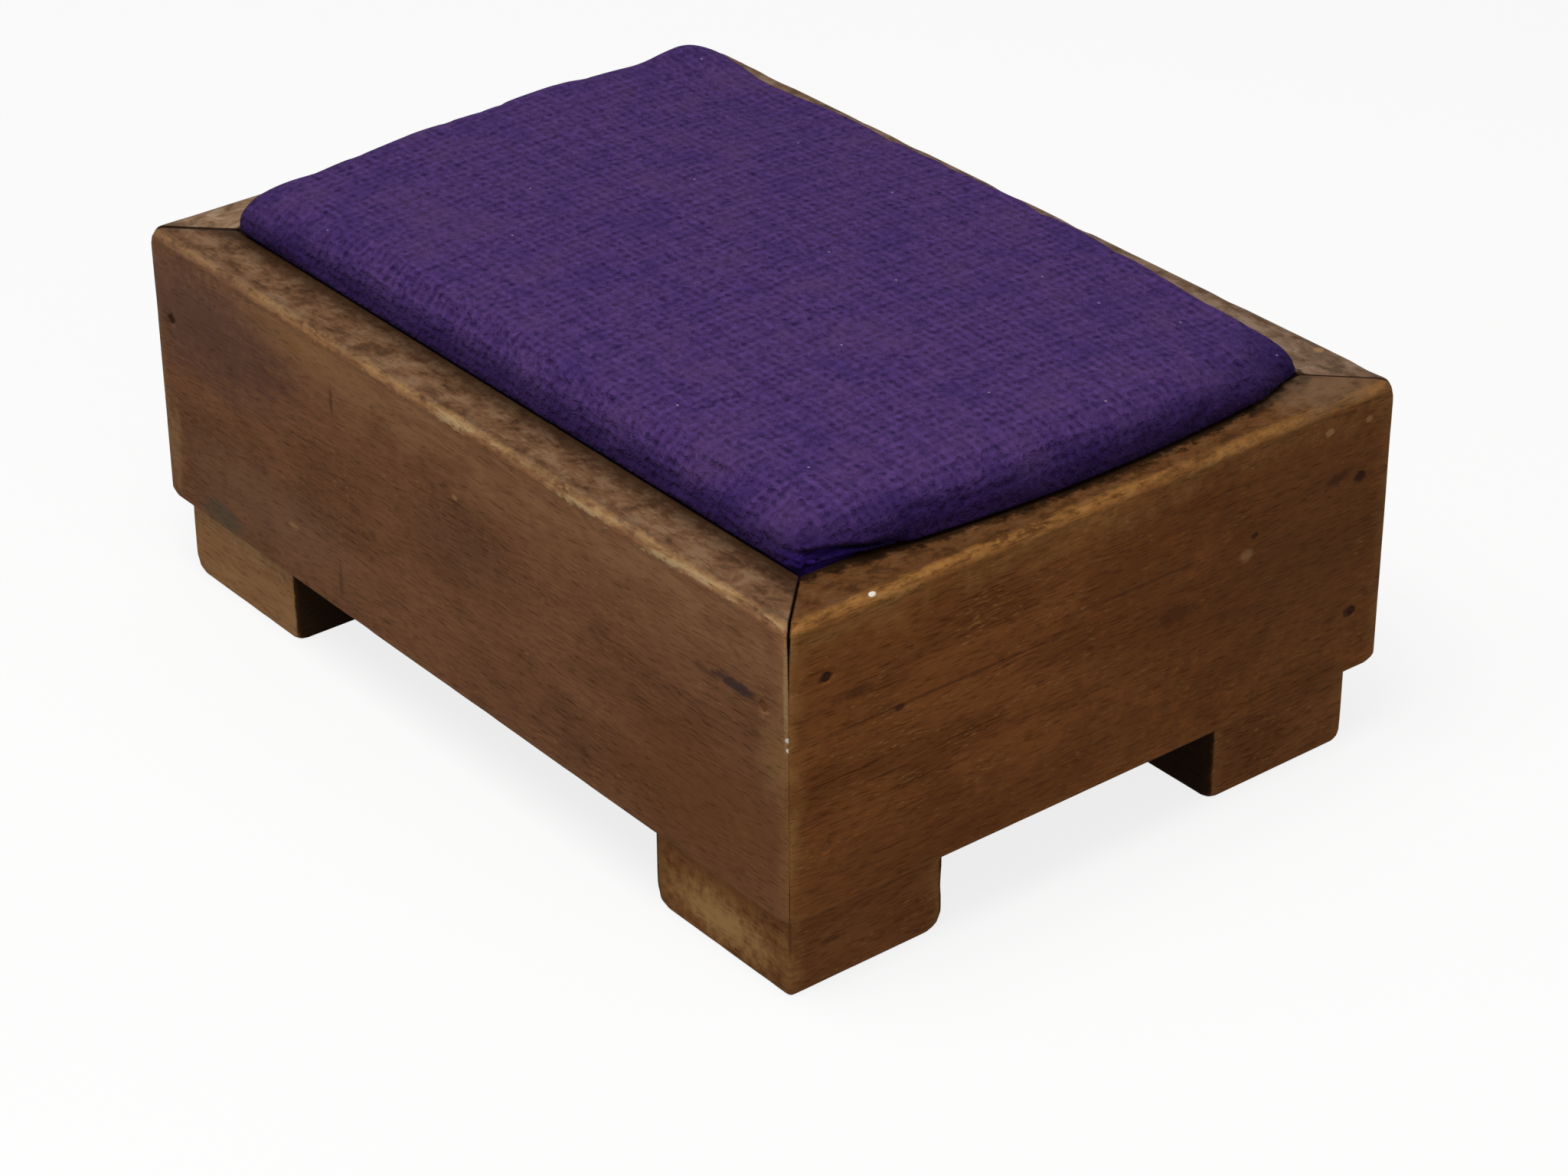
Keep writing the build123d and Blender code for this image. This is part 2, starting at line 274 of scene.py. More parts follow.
class Shader(Tree):
    """A material under construction: its node tree and one Principled shader."""

    def __init__(self, name: str) -> None:
        """Start an empty material of this name."""
        self.material = bpy.data.materials.new(name)
        self.material.use_nodes = True
        super().__init__(self.material.node_tree)
        self.surface = self.node("ShaderNodeBsdfPrincipled")
        self.output = self.node("ShaderNodeOutputMaterial", None, {0: self.surface.outputs[0]})

    def place(self) -> bpy.types.NodeSocket:
        """The point of the surface in the object's own frame."""
        return self.node("ShaderNodeTexCoord").outputs["Object"]

    def flat_place(self) -> bpy.types.NodeSocket:
        """The point of the surface in its UV map, as a flat cloth."""
        return self.node("ShaderNodeTexCoord").outputs["UV"]

    def axes(self, vector: bpy.types.NodeSocket) -> list[Value]:
        """The three numbers of a vector."""
        node = self.node("ShaderNodeSeparateXYZ", None, {0: vector})
        return [Value(self, socket) for socket in node.outputs]

    def moved(self, vector: bpy.types.NodeSocket, turn: Point, shift: Point) -> bpy.types.NodeSocket:
        """A vector turned and shifted by a Mapping node."""
        sockets = {"Vector": vector, "Location": shift, "Rotation": turn}
        return self.node("ShaderNodeMapping", {"vector_type": "POINT"}, sockets).outputs[0]

    def stretched(self, vector: bpy.types.NodeSocket, sizes: Sizes) -> bpy.types.NodeSocket:
        """A vector counted in these sizes, so that a texture of scale 1 has features this large."""
        if isinstance(sizes, float):
            sizes = (sizes, sizes, sizes)
        return self.node(
            "ShaderNodeVectorMath", {"operation": "DIVIDE"}, {0: vector, 1: sizes}
        ).outputs[0]

    def cloud(
        self,
        vector: bpy.types.NodeSocket,
        sizes: Sizes,
        detail: float = 2.0,
        rough: float = 0.5,
        warp: float = 0.0,
    ) -> Value:
        """Noise from about 0.2 to 0.8 with features of the given sizes along the vector's axes."""
        sockets = {
            "Vector": self.stretched(vector, sizes),
            "Scale": 1.0,
            "Detail": detail,
            "Roughness": rough,
            "Distortion": warp,
        }
        return Value(self, self.node("ShaderNodeTexNoise", None, sockets).outputs[0])

    def cells(self, vector: bpy.types.NodeSocket, sizes: Sizes) -> tuple[Value, Value]:
        """Random cells of the given sizes: the distance from each one's middle, and its own number."""
        sockets = {"Vector": self.stretched(vector, sizes), "Scale": 1.0}
        node = self.node("ShaderNodeTexVoronoi", {"voronoi_dimensions": "2D"}, sockets)
        return Value(self, node.outputs["Distance"]), self.axes(node.outputs["Color"])[0]

    def blend(self, factor: Number, first: object, second: object) -> bpy.types.NodeSocket:
        """Colour that goes from the first to the second as the factor goes from 0 to 1."""
        sockets = {0: factor, 6: first, 7: second}
        settings = {"data_type": "RGBA", "clamp_factor": True}
        return self.node("ShaderNodeMix", settings, sockets).outputs[2]

    def darken(self, colour: object, share: Number) -> bpy.types.NodeSocket:
        """Colour multiplied by a number on all three channels."""
        node = self.node("ShaderNodeVectorMath", {"operation": "SCALE"}, {0: colour, "Scale": share})
        return node.outputs[0]

    def bump(self, height: Value, strength: float, depth: float) -> bpy.types.NodeSocket:
        """Normal bent by a height from 0 to 1 that stands for this depth in metres."""
        sockets = {"Strength": strength, "Distance": depth, "Height": height}
        return self.node("ShaderNodeBump", None, sockets).outputs[0]

    def done(self, **sockets: object) -> bpy.types.Material:
        """Feed the Principled shader by socket name, with underscores for spaces."""
        for name, given in sockets.items():
            self.feed(self.surface.inputs[name.replace("_", " ")], given)
        return self.material


@dataclass(frozen=True)
class Mark:
    """One mark on the wood, such as a stain, a chip or a patch of painted light or shade, with its place and
    reach in millimetres.
    """

    place: Point
    reach: Point
    colour: Colour
    strength: float = 1.0
    softness: float = 0.5


@dataclass(frozen=True)
class Rim:
    """How the top of one rail has aged: its colours, the dirt and painted shadow beside the seat and the worn
    outer edge.
    """

    well: tuple[float, float]
    flat: Colour
    pale: Colour
    # Dirt in the joints, and dirt with painted shadow in the band beside the seat: its colour, and the band's
    # width.
    dirt_and_shadow: Colour = (0.030, 0.014, 0.007)
    dirt_and_shadow_width: float = 7.0 * MM
    edge: Colour = (0.44, 0.235, 0.085)
    edge_width: float = 3.0 * MM
    glow: float = 0.42
    glow_width: float = 17.0 * MM
    glow_colour: Colour = (0.36, 0.185, 0.062)
    rubbed: float = 0.8
    chipped: float = 0.5
    bulge: float = 0.0


@dataclass(frozen=True)
class StainedBeech:
    """Old stained beech: streaks, dashes and rays along the grain, blotchy stain, edges worn to gold."""

    name: str
    low: Point
    high: Point
    grain: Grain = Grain.ALONG_X
    tilt: float = 0.0
    shift: Point = (0.0, 0.0, 0.0)
    tone: Colour = (0.300, 0.125, 0.050)
    deep: Colour = (0.150, 0.058, 0.021)
    gold: Colour = (0.36, 0.185, 0.062)
    streaky: float = 0.5
    wear: float = 0.5
    marks: tuple[Mark, ...] = ()
    rim: Optional[Rim] = None

    def grained(self, shader: Shader, along: bpy.types.NodeSocket, length: float, width: float,
                detail: float = 2.0, warp: float = 0.0) -> Value:
        """Noise drawn out along the grain.

        Args:
            shader: the shader that the nodes go into.
            along: the point of the surface, with the grain along X.
            length: size of its features along the grain.
            width: their size across it.
            detail: how many finer layers it has.
            warp: how much it is distorted.

        Returns:
            The noise, from about 0.2 to 0.8.
        """
        depth = length if self.grain is Grain.LAYERED else width
        return shader.cloud(along, (length, depth, width), detail, 0.55, warp)

    def marked(self, shader: Shader, colour: bpy.types.NodeSocket, point: Sequence[Value],
               ragged: Value) -> bpy.types.NodeSocket:
        """Lay the marks over the colour: marks of use, and patches of painted light and shade.

        Args:
            shader: the shader that the nodes go into.
            colour: the wood's colour so far.
            point: the three numbers of the point.
            ragged: noise that breaks up the outlines.

        Returns:
            The colour with the marks.
        """
        for mark in self.marks:
            parts = [
                ((number - middle * MM) / (reach * MM)) ** 2.0
                for number, middle, reach in zip(point, mark.place, mark.reach)
            ]
            distance = (parts[0] + parts[1] + parts[2]).root() + (ragged - 0.5) * 2.0 * mark.softness
            cover = distance.fade(1.0 - mark.softness, 1.0 + 0.3 * mark.softness) * mark.strength
            colour = shader.blend(cover, colour, mark.colour)
        return colour

    def bare(self, shader: Shader, along: bpy.types.NodeSocket) -> tuple[bpy.types.NodeSocket, Value, Value]:
        """Colour of the stained wood before wear.

        Args:
            shader: the shader that the nodes go into.
            along: the point of the surface, with the grain along X.

        Returns:
            The colour, the streaks and the dark dashes that go over it in the end.
        """
        broad = self.grained(shader, along, 52 * MM, 24 * MM, 3.0, 0.8)
        streaks = self.grained(shader, along, 22 * MM, 2.0 * MM, 3.0, 0.4)
        lines = self.grained(shader, along, 34 * MM, 0.8 * MM, 2.0, 0.25)
        dashes = self.grained(shader, along, 5.6 * MM, 0.62 * MM, 2.0)
        rays = self.grained(shader, along, 3.4 * MM, 0.70 * MM, 1.0)
        cloudy = self.grained(shader, along, 26 * MM, 12 * MM, 2.0, 0.8)

        depth = broad.step(0.32, 0.68) * 0.46 + streaks.step(0.32, 0.68) * 0.24
        depth = depth + dashes.step(0.36, 0.64) * 0.30
        colour = shader.blend(depth, self.tone, self.deep)
        drawn = lines.step(0.60, 0.70) * (0.25 + broad.step(0.42, 0.60) * 0.75)
        colour = shader.darken(colour, 1.0 - drawn * self.streaky)
        glint = rays.step(0.58, 0.72) * cloudy.step(0.42, 0.60)
        colour = shader.blend(glint * 0.46, colour, self.gold)
        return colour, streaks, dashes.step(0.55, 0.70)

    def worn(self, shader: Shader, colour: bpy.types.NodeSocket, point: Sequence[Value],
             ragged: Value, patchy: Value) -> bpy.types.NodeSocket:
        """Rub the edges of the piece down to golden wood.

        Args:
            shader: the shader that the nodes go into.
            colour: the wood's colour so far.
            point: the three numbers of the point.
            ragged: fine noise.
            patchy: broader noise.

        Returns:
            The colour with worn edges.
        """
        inset = [
            (number - low).least(high - number)
            for number, low, high in zip(point, self.low, self.high)
        ]
        uneven = (ragged - 0.5) * 7.0 * MM + (patchy - 0.5) * 6.0 * MM
        arris = (inset[0].most(inset[1]) + uneven).fade(0.5 * MM, 8.5 * MM)
        base = (inset[0].least(inset[1]).most(point[2] - self.low[2]) + uneven).fade(0.4 * MM, 3.0 * MM)
        rubbed = arris.most(base * 0.5) * (0.35 + patchy.step(0.40, 0.60) * 0.65)
        return shader.blend(rubbed * self.wear, colour, self.gold)

    def rim_patina(self, shader: Shader, colour: bpy.types.NodeSocket, point: Sequence[Value],
                   along: bpy.types.NodeSocket, ragged: Value, patchy: Value) -> bpy.types.NodeSocket:
        """Age the rail's top: mottled flat, dirt and painted shadow beside the seat, a rubbed and chipped
        outer edge.

        Args:
            shader: the shader that the nodes go into.
            colour: the wood's colour so far.
            point: the three numbers of the point.
            along: the point with the grain along X.
            ragged: fine noise.
            patchy: broader noise.

        Returns:
            The colour with the patina.
        """
        rim = self.rim
        below = self.high[2] - point[2]
        from_ends = self.high[0] - abs(point[0])
        from_sides = self.high[1] - abs(point[1])
        side = from_ends.least(from_sides)
        bow = (1.0 - ((point[1] - BOW_MIDDLE) / BOW_REACH) ** 2.0) * rim.bulge
        beside = (abs(point[0]) - rim.well[0] - bow).most(abs(point[1]) - rim.well[1])
        mottle = shader.cloud(along, (10 * MM, 7.5 * MM, 7.5 * MM), 3.0, 0.62, 0.4)
        run = shader.cloud(along, (22 * MM, 5 * MM, 5 * MM), 3.0, 0.6, 0.4)
        flake = shader.cloud(along, (2.6 * MM, 1.5 * MM, 1.5 * MM), 3.0, 0.65, 0.3)
        uneven = (ragged - 0.5) * 4.0 * MM + (mottle - 0.5) * 4.0 * MM + (flake - 0.5) * 4.0 * MM

        glow = (below + (patchy - 0.5) * 30 * MM).fade(0.2 * rim.glow_width, rim.glow_width)
        glow = glow * (0.35 + run.step(0.36, 0.64) * 0.65) * rim.glow
        colour = shader.blend(glow, colour, rim.glow_colour)
        top = below.fade(0.6 * MM, 2.4 * MM)
        colour = shader.blend(top * 0.78, colour, rim.flat)
        speckle = mottle * 0.8 + flake * 0.2
        colour = shader.blend(speckle.step(0.49, 0.60) * top * 0.66, colour, rim.pale)
        colour = shader.darken(colour, 1.0 - speckle.fade(0.38, 0.50) * top * 0.44)
        # Dirt and painted shadow: a dark band on the rim beside the seat, pushed out under the cushion where
        # it bulges over the rim.
        near = (beside + uneven * 1.5).fade(0.6 * MM, rim.dirt_and_shadow_width) * top
        colour = shader.blend(near * 0.88, colour, rim.dirt_and_shadow)

        joint = abs(from_ends - from_sides) + (ragged - 0.5) * 0.5 * MM
        open_here = 0.6 * MM + point[0].fade(-150 * MM, -120 * MM) * 0.7 * MM
        dirty = (joint - open_here).fade(0.0, 0.5 * MM) * below.fade(4 * MM, 16 * MM)
        colour = shader.blend(dirty * 0.9, colour, rim.dirt_and_shadow)
        edge = below.most(side) + uneven
        shadow = edge.step(2.6 * MM, 3.6 * MM) * edge.fade(4.2 * MM, 6.0 * MM) * run.step(0.40, 0.56)
        colour = shader.darken(colour, 1.0 - shadow * 0.26)
        broken = 0.05 + run.step(0.42, 0.58) * 0.50 + (mottle * 0.5 + flake * 0.5).step(0.45, 0.55) * 0.45
        rub = edge.fade(0.6 * MM, rim.edge_width) * broken
        colour = shader.blend(rub * rim.rubbed, colour, rim.edge)
        face = side.fade(0.8 * MM, 2.0 * MM) * point[0].step(-30 * MM, 10 * MM)
        chip = (below + uneven * 2.0).fade(2.6 * MM, 4.6 * MM) * run.step(0.50, 0.60) * face
        return shader.blend(chip * rim.chipped, colour, (0.41, 0.285, 0.145))

    def build(self) -> bpy.types.Material:
        """Make the material."""
        shader = Shader(self.name)
        place = shader.place()
        point = shader.axes(place)
        along = shader.moved(place, (0.0, self.tilt, self.grain.value), self.shift)
        ragged = shader.cloud(place, 3.6 * MM, 3.0, 0.6)
        patchy = shader.cloud(place, 14 * MM, 3.0, 0.6, 0.8)
        colour, streaks, dashes = self.bare(shader, along)
        colour = self.worn(shader, colour, point, ragged, patchy)
        if self.rim:
            colour = self.rim_patina(shader, colour, point, along, ragged, patchy)
        colour = self.marked(shader, colour, point, ragged)
        colour = shader.darken(colour, 1.0 - dashes * 0.30)
        rough = 0.56 + (patchy - 0.5) * 0.24 + dashes * 0.10
        height = streaks * 0.40 + (1.0 - dashes) * 0.35 + ragged * 0.25
        normal = shader.bump(height, 0.55, 0.35 * MM)
        return shader.done(
            Base_Color=colour, Roughness=rough, Normal=normal, Specular_IOR_Level=0.012
        )


@dataclass(frozen=True)
class BareWood:
    """Planed wood without a finish, as on the blocks, battens and seat board that stay out of sight."""

    name: str
    pale: Colour
    dark: Colour
    grain: Grain = Grain.ALONG_X
    ring_width: float = 4.0 * MM
    shift: Point = (0.0, 0.0, 0.0)

    def build(self) -> bpy.types.Material:
        """Make the material."""
        shader = Shader(self.name)
        place = shader.place()
        along = shader.moved(place, (0.0, 0.03, self.grain.value), self.shift)
        rings = shader.cloud(along, (160 * MM, self.ring_width, self.ring_width), 2.0, 0.5, 0.5)
        fibres = shader.cloud(along, (9 * MM, 0.4 * MM, 0.4 * MM), 2.0, 0.5)
        dust = shader.cloud(place, 18 * MM, 4.0, 0.6)
        colour = shader.blend(rings.step(0.38, 0.66), self.pale, self.dark)
        colour = shader.darken(colour, 0.72 + fibres * 0.36 + (dust - 0.5) * 0.5)
        rough = 0.72 + (fibres - 0.5) * 0.2
        normal = shader.bump(fibres * 0.6 + rings * 0.4, 0.3, 0.3 * MM)
        return shader.done(Base_Color=colour, Roughness=rough, Normal=normal)


@dataclass(frozen=True)
class PurpleCloth:
    """Coarse wool in a crepe weave: small knots in a loose check, pits between them, lint and a soft nap."""

    rim: float
    name: str = "purple_cloth"
    row: float = 4.1 * MM
    line: float = 3.43 * MM
    light: Colour = (0.120, 0.056, 0.226)
    dark: Colour = (0.014, 0.005, 0.044)
    faded: Colour = (0.092, 0.045, 0.134)
    cool: Colour = (0.040, 0.019, 0.118)
    # Painted shade: the dark colour that the cloth's sides fade to towards the rim.
    side_shade: Colour = (0.013, 0.0045, 0.046)
    tucked: Colour = (0.030, 0.011, 0.165)

    def knots(self, shader: Shader, flat: bpy.types.NodeSocket, grid: Value) -> tuple[Value, Value]:
        """The knots of the weave and the pits between them.

        Args:
            shader: the shader that the nodes go into.
            flat: the point of the cloth as it lies flat.
            grid: the rows and lines of the weave, which keep the pits between them.

        Returns:
            Height of the knots from 0 to 1, and the pits as 1 in a pit and 0 elsewhere.
        """
        relief = shader.cloud(flat, 3.0 * MM, 3.0, 0.6, 0.3).step(0.32, 0.68)
        hollows = shader.cloud(flat, 2.1 * MM, 2.0, 0.5, 0.3)
        return relief, (hollows - relief * 0.06 - grid * 0.07).step(0.44, 0.70)

    def build(self) -> bpy.types.Material:
        """Make the material."""
        shader = Shader(self.name)
        flat = shader.flat_place()
        x, y, _ = shader.axes(flat)
        drift = shader.cloud(flat, 11 * MM, 2.0, 0.5) - 0.5
        rows = ((x / self.row + drift) * math.tau).cosine()
        lines = ((y / self.line - drift) * math.tau).cosine()
        broad_rows = ((x / (3 * self.row) + drift * 0.5) * math.tau).cosine()
        broad_lines = ((y / (3 * self.line) - drift * 0.5) * math.tau).cosine()
        grid = rows * 0.34 + lines * 0.32 + broad_rows * 0.17 + broad_lines * 0.17
        relief, pits = self.knots(shader, flat, grid)
        cloudy = shader.cloud(flat, 26 * MM, 3.0, 0.6, 0.4)
        fuzz = shader.cloud(flat, 0.45 * MM, 2.0, 0.6)
        lint_middle, lint_pick = shader.cells(flat, 26 * MM)

        shade = 0.53 + (relief - 0.5) * 0.24 - pits * 0.23 + grid * 0.19 + (fuzz - 0.5) * 0.34
        colour = shader.blend(shade, self.dark, self.light)
        colour = shader.blend(cloudy.step(0.48, 0.70) * 0.40, colour, self.faded)
        colour = shader.blend(cloudy.fade(0.32, 0.50) * 0.40, colour, self.cool)
        along, across, height_here = shader.axes(shader.place())
        right = along.step(138 * MM, 160 * MM)
        # Painted shade: the cloth darkens down its sides towards the rim, and most within a few millimetres
        # of it, as shade under the seat's rounded shoulder.
        over_rim = height_here - self.rim + (cloudy - 0.5) * 6.0 * MM - right * 3.5 * MM
        colour = shader.blend(over_rim.fade(3.0 * MM, 15.5 * MM) * 0.72, colour, self.side_shade)
        colour = shader.darken(colour, 0.62 + over_rim.step(0.5 * MM, 5.0 * MM) * 0.38)
        at_fold = right * across.fade(-80 * MM, -64 * MM)
        crease = self.rim + 6.6 * MM - (across + 104 * MM).most(0.0) * 0.13
        flap = at_fold * (height_here - crease).fade(-1.0 * MM, 0.0)
        colour = shader.blend(flap * 0.62, colour, self.tucked)
        # Painted shade: a dark line along the crease of the fold.
        crease_shade = at_fold * abs(height_here - crease).fade(0.2 * MM, 1.1 * MM)
        colour = shader.darken(colour, 1.0 - crease_shade * 0.72)
        lint = lint_middle.fade(0.010, 0.022) * lint_pick.step(0.78, 0.80)
        colour = shader.blend(lint * 0.60, colour, (0.42, 0.36, 0.50))
        height = relief * 0.40 + grid * 0.20 + (1.0 - pits) * 0.30 + fuzz * 0.10
        normal = shader.bump(height, 1.0, 1.5 * MM)
        return shader.done(
            Base_Color=colour,
            Roughness=0.95,
            Normal=normal,
            Specular_IOR_Level=0.03,
            Sheen_Weight=0.05,
            Sheen_Roughness=0.5,
            Sheen_Tint=(0.50, 0.38, 0.80),
        )


@dataclass(frozen=True)
class FibreWadding:
    """Felted fibre of the stuffing."""

    name: str = "stuffing"
    pale: Colour = (0.62, 0.56, 0.46)
    dark: Colour = (0.38, 0.33, 0.26)

    def build(self) -> bpy.types.Material:
        """Make the material."""
        shader = Shader(self.name)
        place = shader.place()
        tufts = shader.cloud(place, (6 * MM, 6 * MM, 3 * MM), 4.0, 0.65, 0.8)
        fibres = shader.cloud(place, (0.6 * MM, 2.4 * MM, 0.6 * MM), 2.0, 0.5, 1.5)
        colour = shader.blend(tufts * 0.7 + fibres * 0.3, self.dark, self.pale)
        normal = shader.bump(tufts * 0.6 + fibres * 0.4, 0.7, 0.8 * MM)
        return shader.done(Base_Color=colour, Roughness=0.95, Normal=normal)


@dataclass(frozen=True)
class DullSteel:
    """Wire-drawn or blued steel with a little rust."""

    name: str
    colour: Colour
    rust: float = 0.35

    def build(self) -> bpy.types.Material:
        """Make the material."""
        shader = Shader(self.name)
        place = shader.place()
        blooms = shader.cloud(place, 2.2 * MM, 4.0, 0.6)
        scratches = shader.cloud(place, (0.2 * MM, 1.6 * MM, 0.2 * MM), 2.0, 0.5)
        rusty = blooms.step(0.52, 0.66) * self.rust
        colour = shader.blend(rusty, self.colour, (0.16, 0.065, 0.025))
        rough = 0.34 + scratches * 0.22 + rusty * 0.4
        normal = shader.bump(scratches * 0.5 + blooms * 0.5, 0.25, 0.08 * MM)
        return shader.done(
            Base_Color=colour, Roughness=rough, Metallic=1.0 - rusty * 0.9, Normal=normal
        )


@dataclass(frozen=True)
class DarkFiller:
    """Hard wood filler over the punched nails, shrunk and gritty, and stained to match at one corner."""

    name: str = "dark_filler"
    matched: Colour = (0.170, 0.066, 0.024)

    def build(self) -> bpy.types.Material:
        """Make the material."""
        shader = Shader(self.name)
        place = shader.place()
        x, y, z = shader.axes(place)
        grit = shader.cloud(place, 0.5 * MM, 3.0, 0.6)
        colour = shader.blend(grit.step(0.35, 0.7), (0.018, 0.008, 0.004), (0.070, 0.026, 0.012))
        right_end = x.step(100 * MM, 140 * MM)
        front_nail = right_end * y.fade(-124 * MM, -121 * MM)
        low_nail = right_end * y.fade(-60 * MM, -40 * MM) * z.fade(70 * MM, 80 * MM)
        colour = shader.blend(front_nail.most(low_nail), colour, self.matched)
        normal = shader.bump(grit, 0.6, 0.2 * MM)
        return shader.done(
            Base_Color=colour, Roughness=0.72 + grit * 0.2, Normal=normal, Specular_IOR_Level=0.05
        )


class Mesh:
    """A piece in the making: one bmesh in the stool's own frame."""

    def __init__(self) -> None:
        """Start empty."""
        self.bm = bmesh.new()

    @classmethod
    def box(cls, low: Point, high: Point) -> "Mesh":
        """A plain box between two corners."""
        mesh = cls()
        size = Vector(high) - Vector(low)
        bmesh.ops.create_cube(mesh.bm, size=1.0)
        bmesh.ops.scale(mesh.bm, vec=size, verts=mesh.bm.verts)
        bmesh.ops.translate(mesh.bm, vec=Vector(low) + size / 2, verts=mesh.bm.verts)
        return mesh

    def round_edges(
        self, chosen: Callable[[Vector, Vector], bool], radius: float, segments: int
    ) -> None:
        """Round the edges that are chosen by their two ends.

        Args:
            chosen: says of two end points whether their edge is rounded.
            radius: how far the rounding reaches from the edge.
            segments: how many strips it has.
        """
        edges = [edge for edge in self.bm.edges if chosen(edge.verts[0].co, edge.verts[1].co)]
        bmesh.ops.bevel(
            self.bm, geom=edges, offset=radius, offset_type="OFFSET", affect="EDGES",
            segments=segments, profile=0.5, material=-1, clamp_overlap=True,
        )

    def cut(self, point: Point, direction: Point) -> None:
        """Cut away what lies past a plane on the side it points to, and close the cut."""
        geometry = [*self.bm.verts, *self.bm.edges, *self.bm.faces]
        result = bmesh.ops.bisect_plane(
            self.bm, geom=geometry, dist=1e-7, plane_co=point, plane_no=direction, clear_outer=True
        )
        edges = [item for item in result["geom_cut"] if isinstance(item, bmesh.types.BMEdge)]
        bmesh.ops.edgeloop_fill(self.bm, edges=edges)

    def slice(self, low: float, high: float, axis: int, step: float) -> None:
        """Divide the faces by planes square to an axis, evenly spaced and closer near both ends.

        Args:
            low: where the body starts on the axis.
            high: where it ends.
            axis: 0 for X, 1 for Y and 2 for Z.
            step: the distance of the planes.
        """
        direction = Vector((0.0, 0.0, 0.0))
        direction[axis] = 1.0
        count = max(int(round((high - low) / step)), 1)
        levels = [low + (high - low) * index / count for index in range(1, count)]
        for near in (0.7 * MM, 1.5 * MM, 2.4 * MM, 3.4 * MM, 4.6 * MM, 6.0 * MM, 7.6 * MM):
            levels += [low + near, high - near]
        for level in levels:
            geometry = [*self.bm.verts, *self.bm.edges, *self.bm.faces]
            bmesh.ops.bisect_plane(
                self.bm, geom=geometry, dist=1e-6, plane_co=direction * level, plane_no=direction
            )

    def shape(self, move: Callable[[Vector, Vector], Vector]) -> None:
        """Move every point by a function of its place and its outward direction."""
        self.bm.normal_update()
        moves = [move(vert.co, vert.normal) for vert in self.bm.verts]
        for vert, shift in zip(self.bm.verts, moves):
            vert.co += shift

    def extrude(
        self, edges: list[bmesh.types.BMEdge]
    ) -> tuple[list[tuple[bmesh.types.BMVert, bmesh.types.BMVert]], list[bmesh.types.BMEdge]]:
        """Draw out a loop of open edges by one ring, which still lies on the loop.

        Args:
            edges: the open edges.

        Returns:
            Each new point with the one that it comes from, and the new open edges.
        """
        inner = {vert for edge in edges for vert in edge.verts}
        made = bmesh.ops.extrude_edge_only(self.bm, edges=edges)["geom"]
        pairs = []
        for vert in (item for item in made if isinstance(item, bmesh.types.BMVert)):
            others = (edge.other_vert(vert) for edge in vert.link_edges)
            pairs.append((vert, next(other for other in others if other in inner)))
        made_edges = (item for item in made if isinstance(item, bmesh.types.BMEdge))
        return pairs, [edge for edge in made_edges if edge.is_boundary]

    def put_in_order(self) -> None:
        """Sort points, edges and faces by their places, so that every run gives the same mesh."""
        by_place = sorted(self.bm.verts, key=lambda vert: tuple(vert.co))
        rank = {vert: index for index, vert in enumerate(by_place)}
        self.bm.verts.sort(key=rank.__getitem__)
        for elements in (self.bm.edges, self.bm.faces):
            by_points = sorted(elements, key=lambda item: sorted(vert.index for vert in item.verts))
            rank = {item: index for index, item in enumerate(by_points)}
            elements.sort(key=rank.__getitem__)

    def piece(self, name: str, smooth_angle: float = math.radians(35)) -> bpy.types.Object:
        """Turn the bmesh into an object of the scene, shaded smooth apart from its sharp edges.

        Args:
            name: the piece's name.
            smooth_angle: edges turned by more than this stay sharp.

        Returns:
            The new object, at the origin.
        """
        self.put_in_order()
        self.bm.normal_update()
        for face in self.bm.faces:
            face.smooth = True
        for edge in self.bm.edges:
            edge.smooth = not edge.is_manifold or edge.calc_face_angle(0.0) < smooth_angle
        mesh = bpy.data.meshes.new(name)
        self.bm.to_mesh(mesh)
        self.bm.free()
        piece = bpy.data.objects.new(name, mesh)
        bpy.context.scene.collection.objects.link(piece)
        return piece


def bake_modifiers(piece: bpy.types.Object) -> None:
    """Replace a piece's mesh by what its modifiers make of it, and remove them."""
    evaluated = piece.evaluated_get(bpy.context.evaluated_depsgraph_get())
    mesh = bpy.data.meshes.new_from_object(evaluated)
    piece.modifiers.clear()
    piece.data = mesh


def islands(node: str) -> list[tuple[Vector, Vector]]:
    """Lowest and highest corner of each separate solid in a node of the frame.

    Args:
        node: the node's name.

    Returns:
        One pair of corners for each solid.
    """
    bm = bmesh.new()
    bm.from_mesh(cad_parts[node].data)
    bmesh.ops.remove_doubles(bm, verts=bm.verts, dist=1e-6)
    bm.verts.ensure_lookup_table()
    seen: set[int] = set()
    found = []
    for start in bm.verts:
        if start.index in seen:
            continue
        group = []
        waiting = [start]
        seen.add(start.index)
        while waiting:
            vert = waiting.pop()
            group.append(vert.co.copy())
            for edge in vert.link_edges:
                other = edge.other_vert(vert)
                if other.index not in seen:
                    seen.add(other.index)
                    waiting.append(other)
        low = Vector([min(co[axis] for co in group) for axis in range(3)])
        high = Vector([max(co[axis] for co in group) for axis in range(3)])
        found.append((low, high))
    bm.free()
    return found


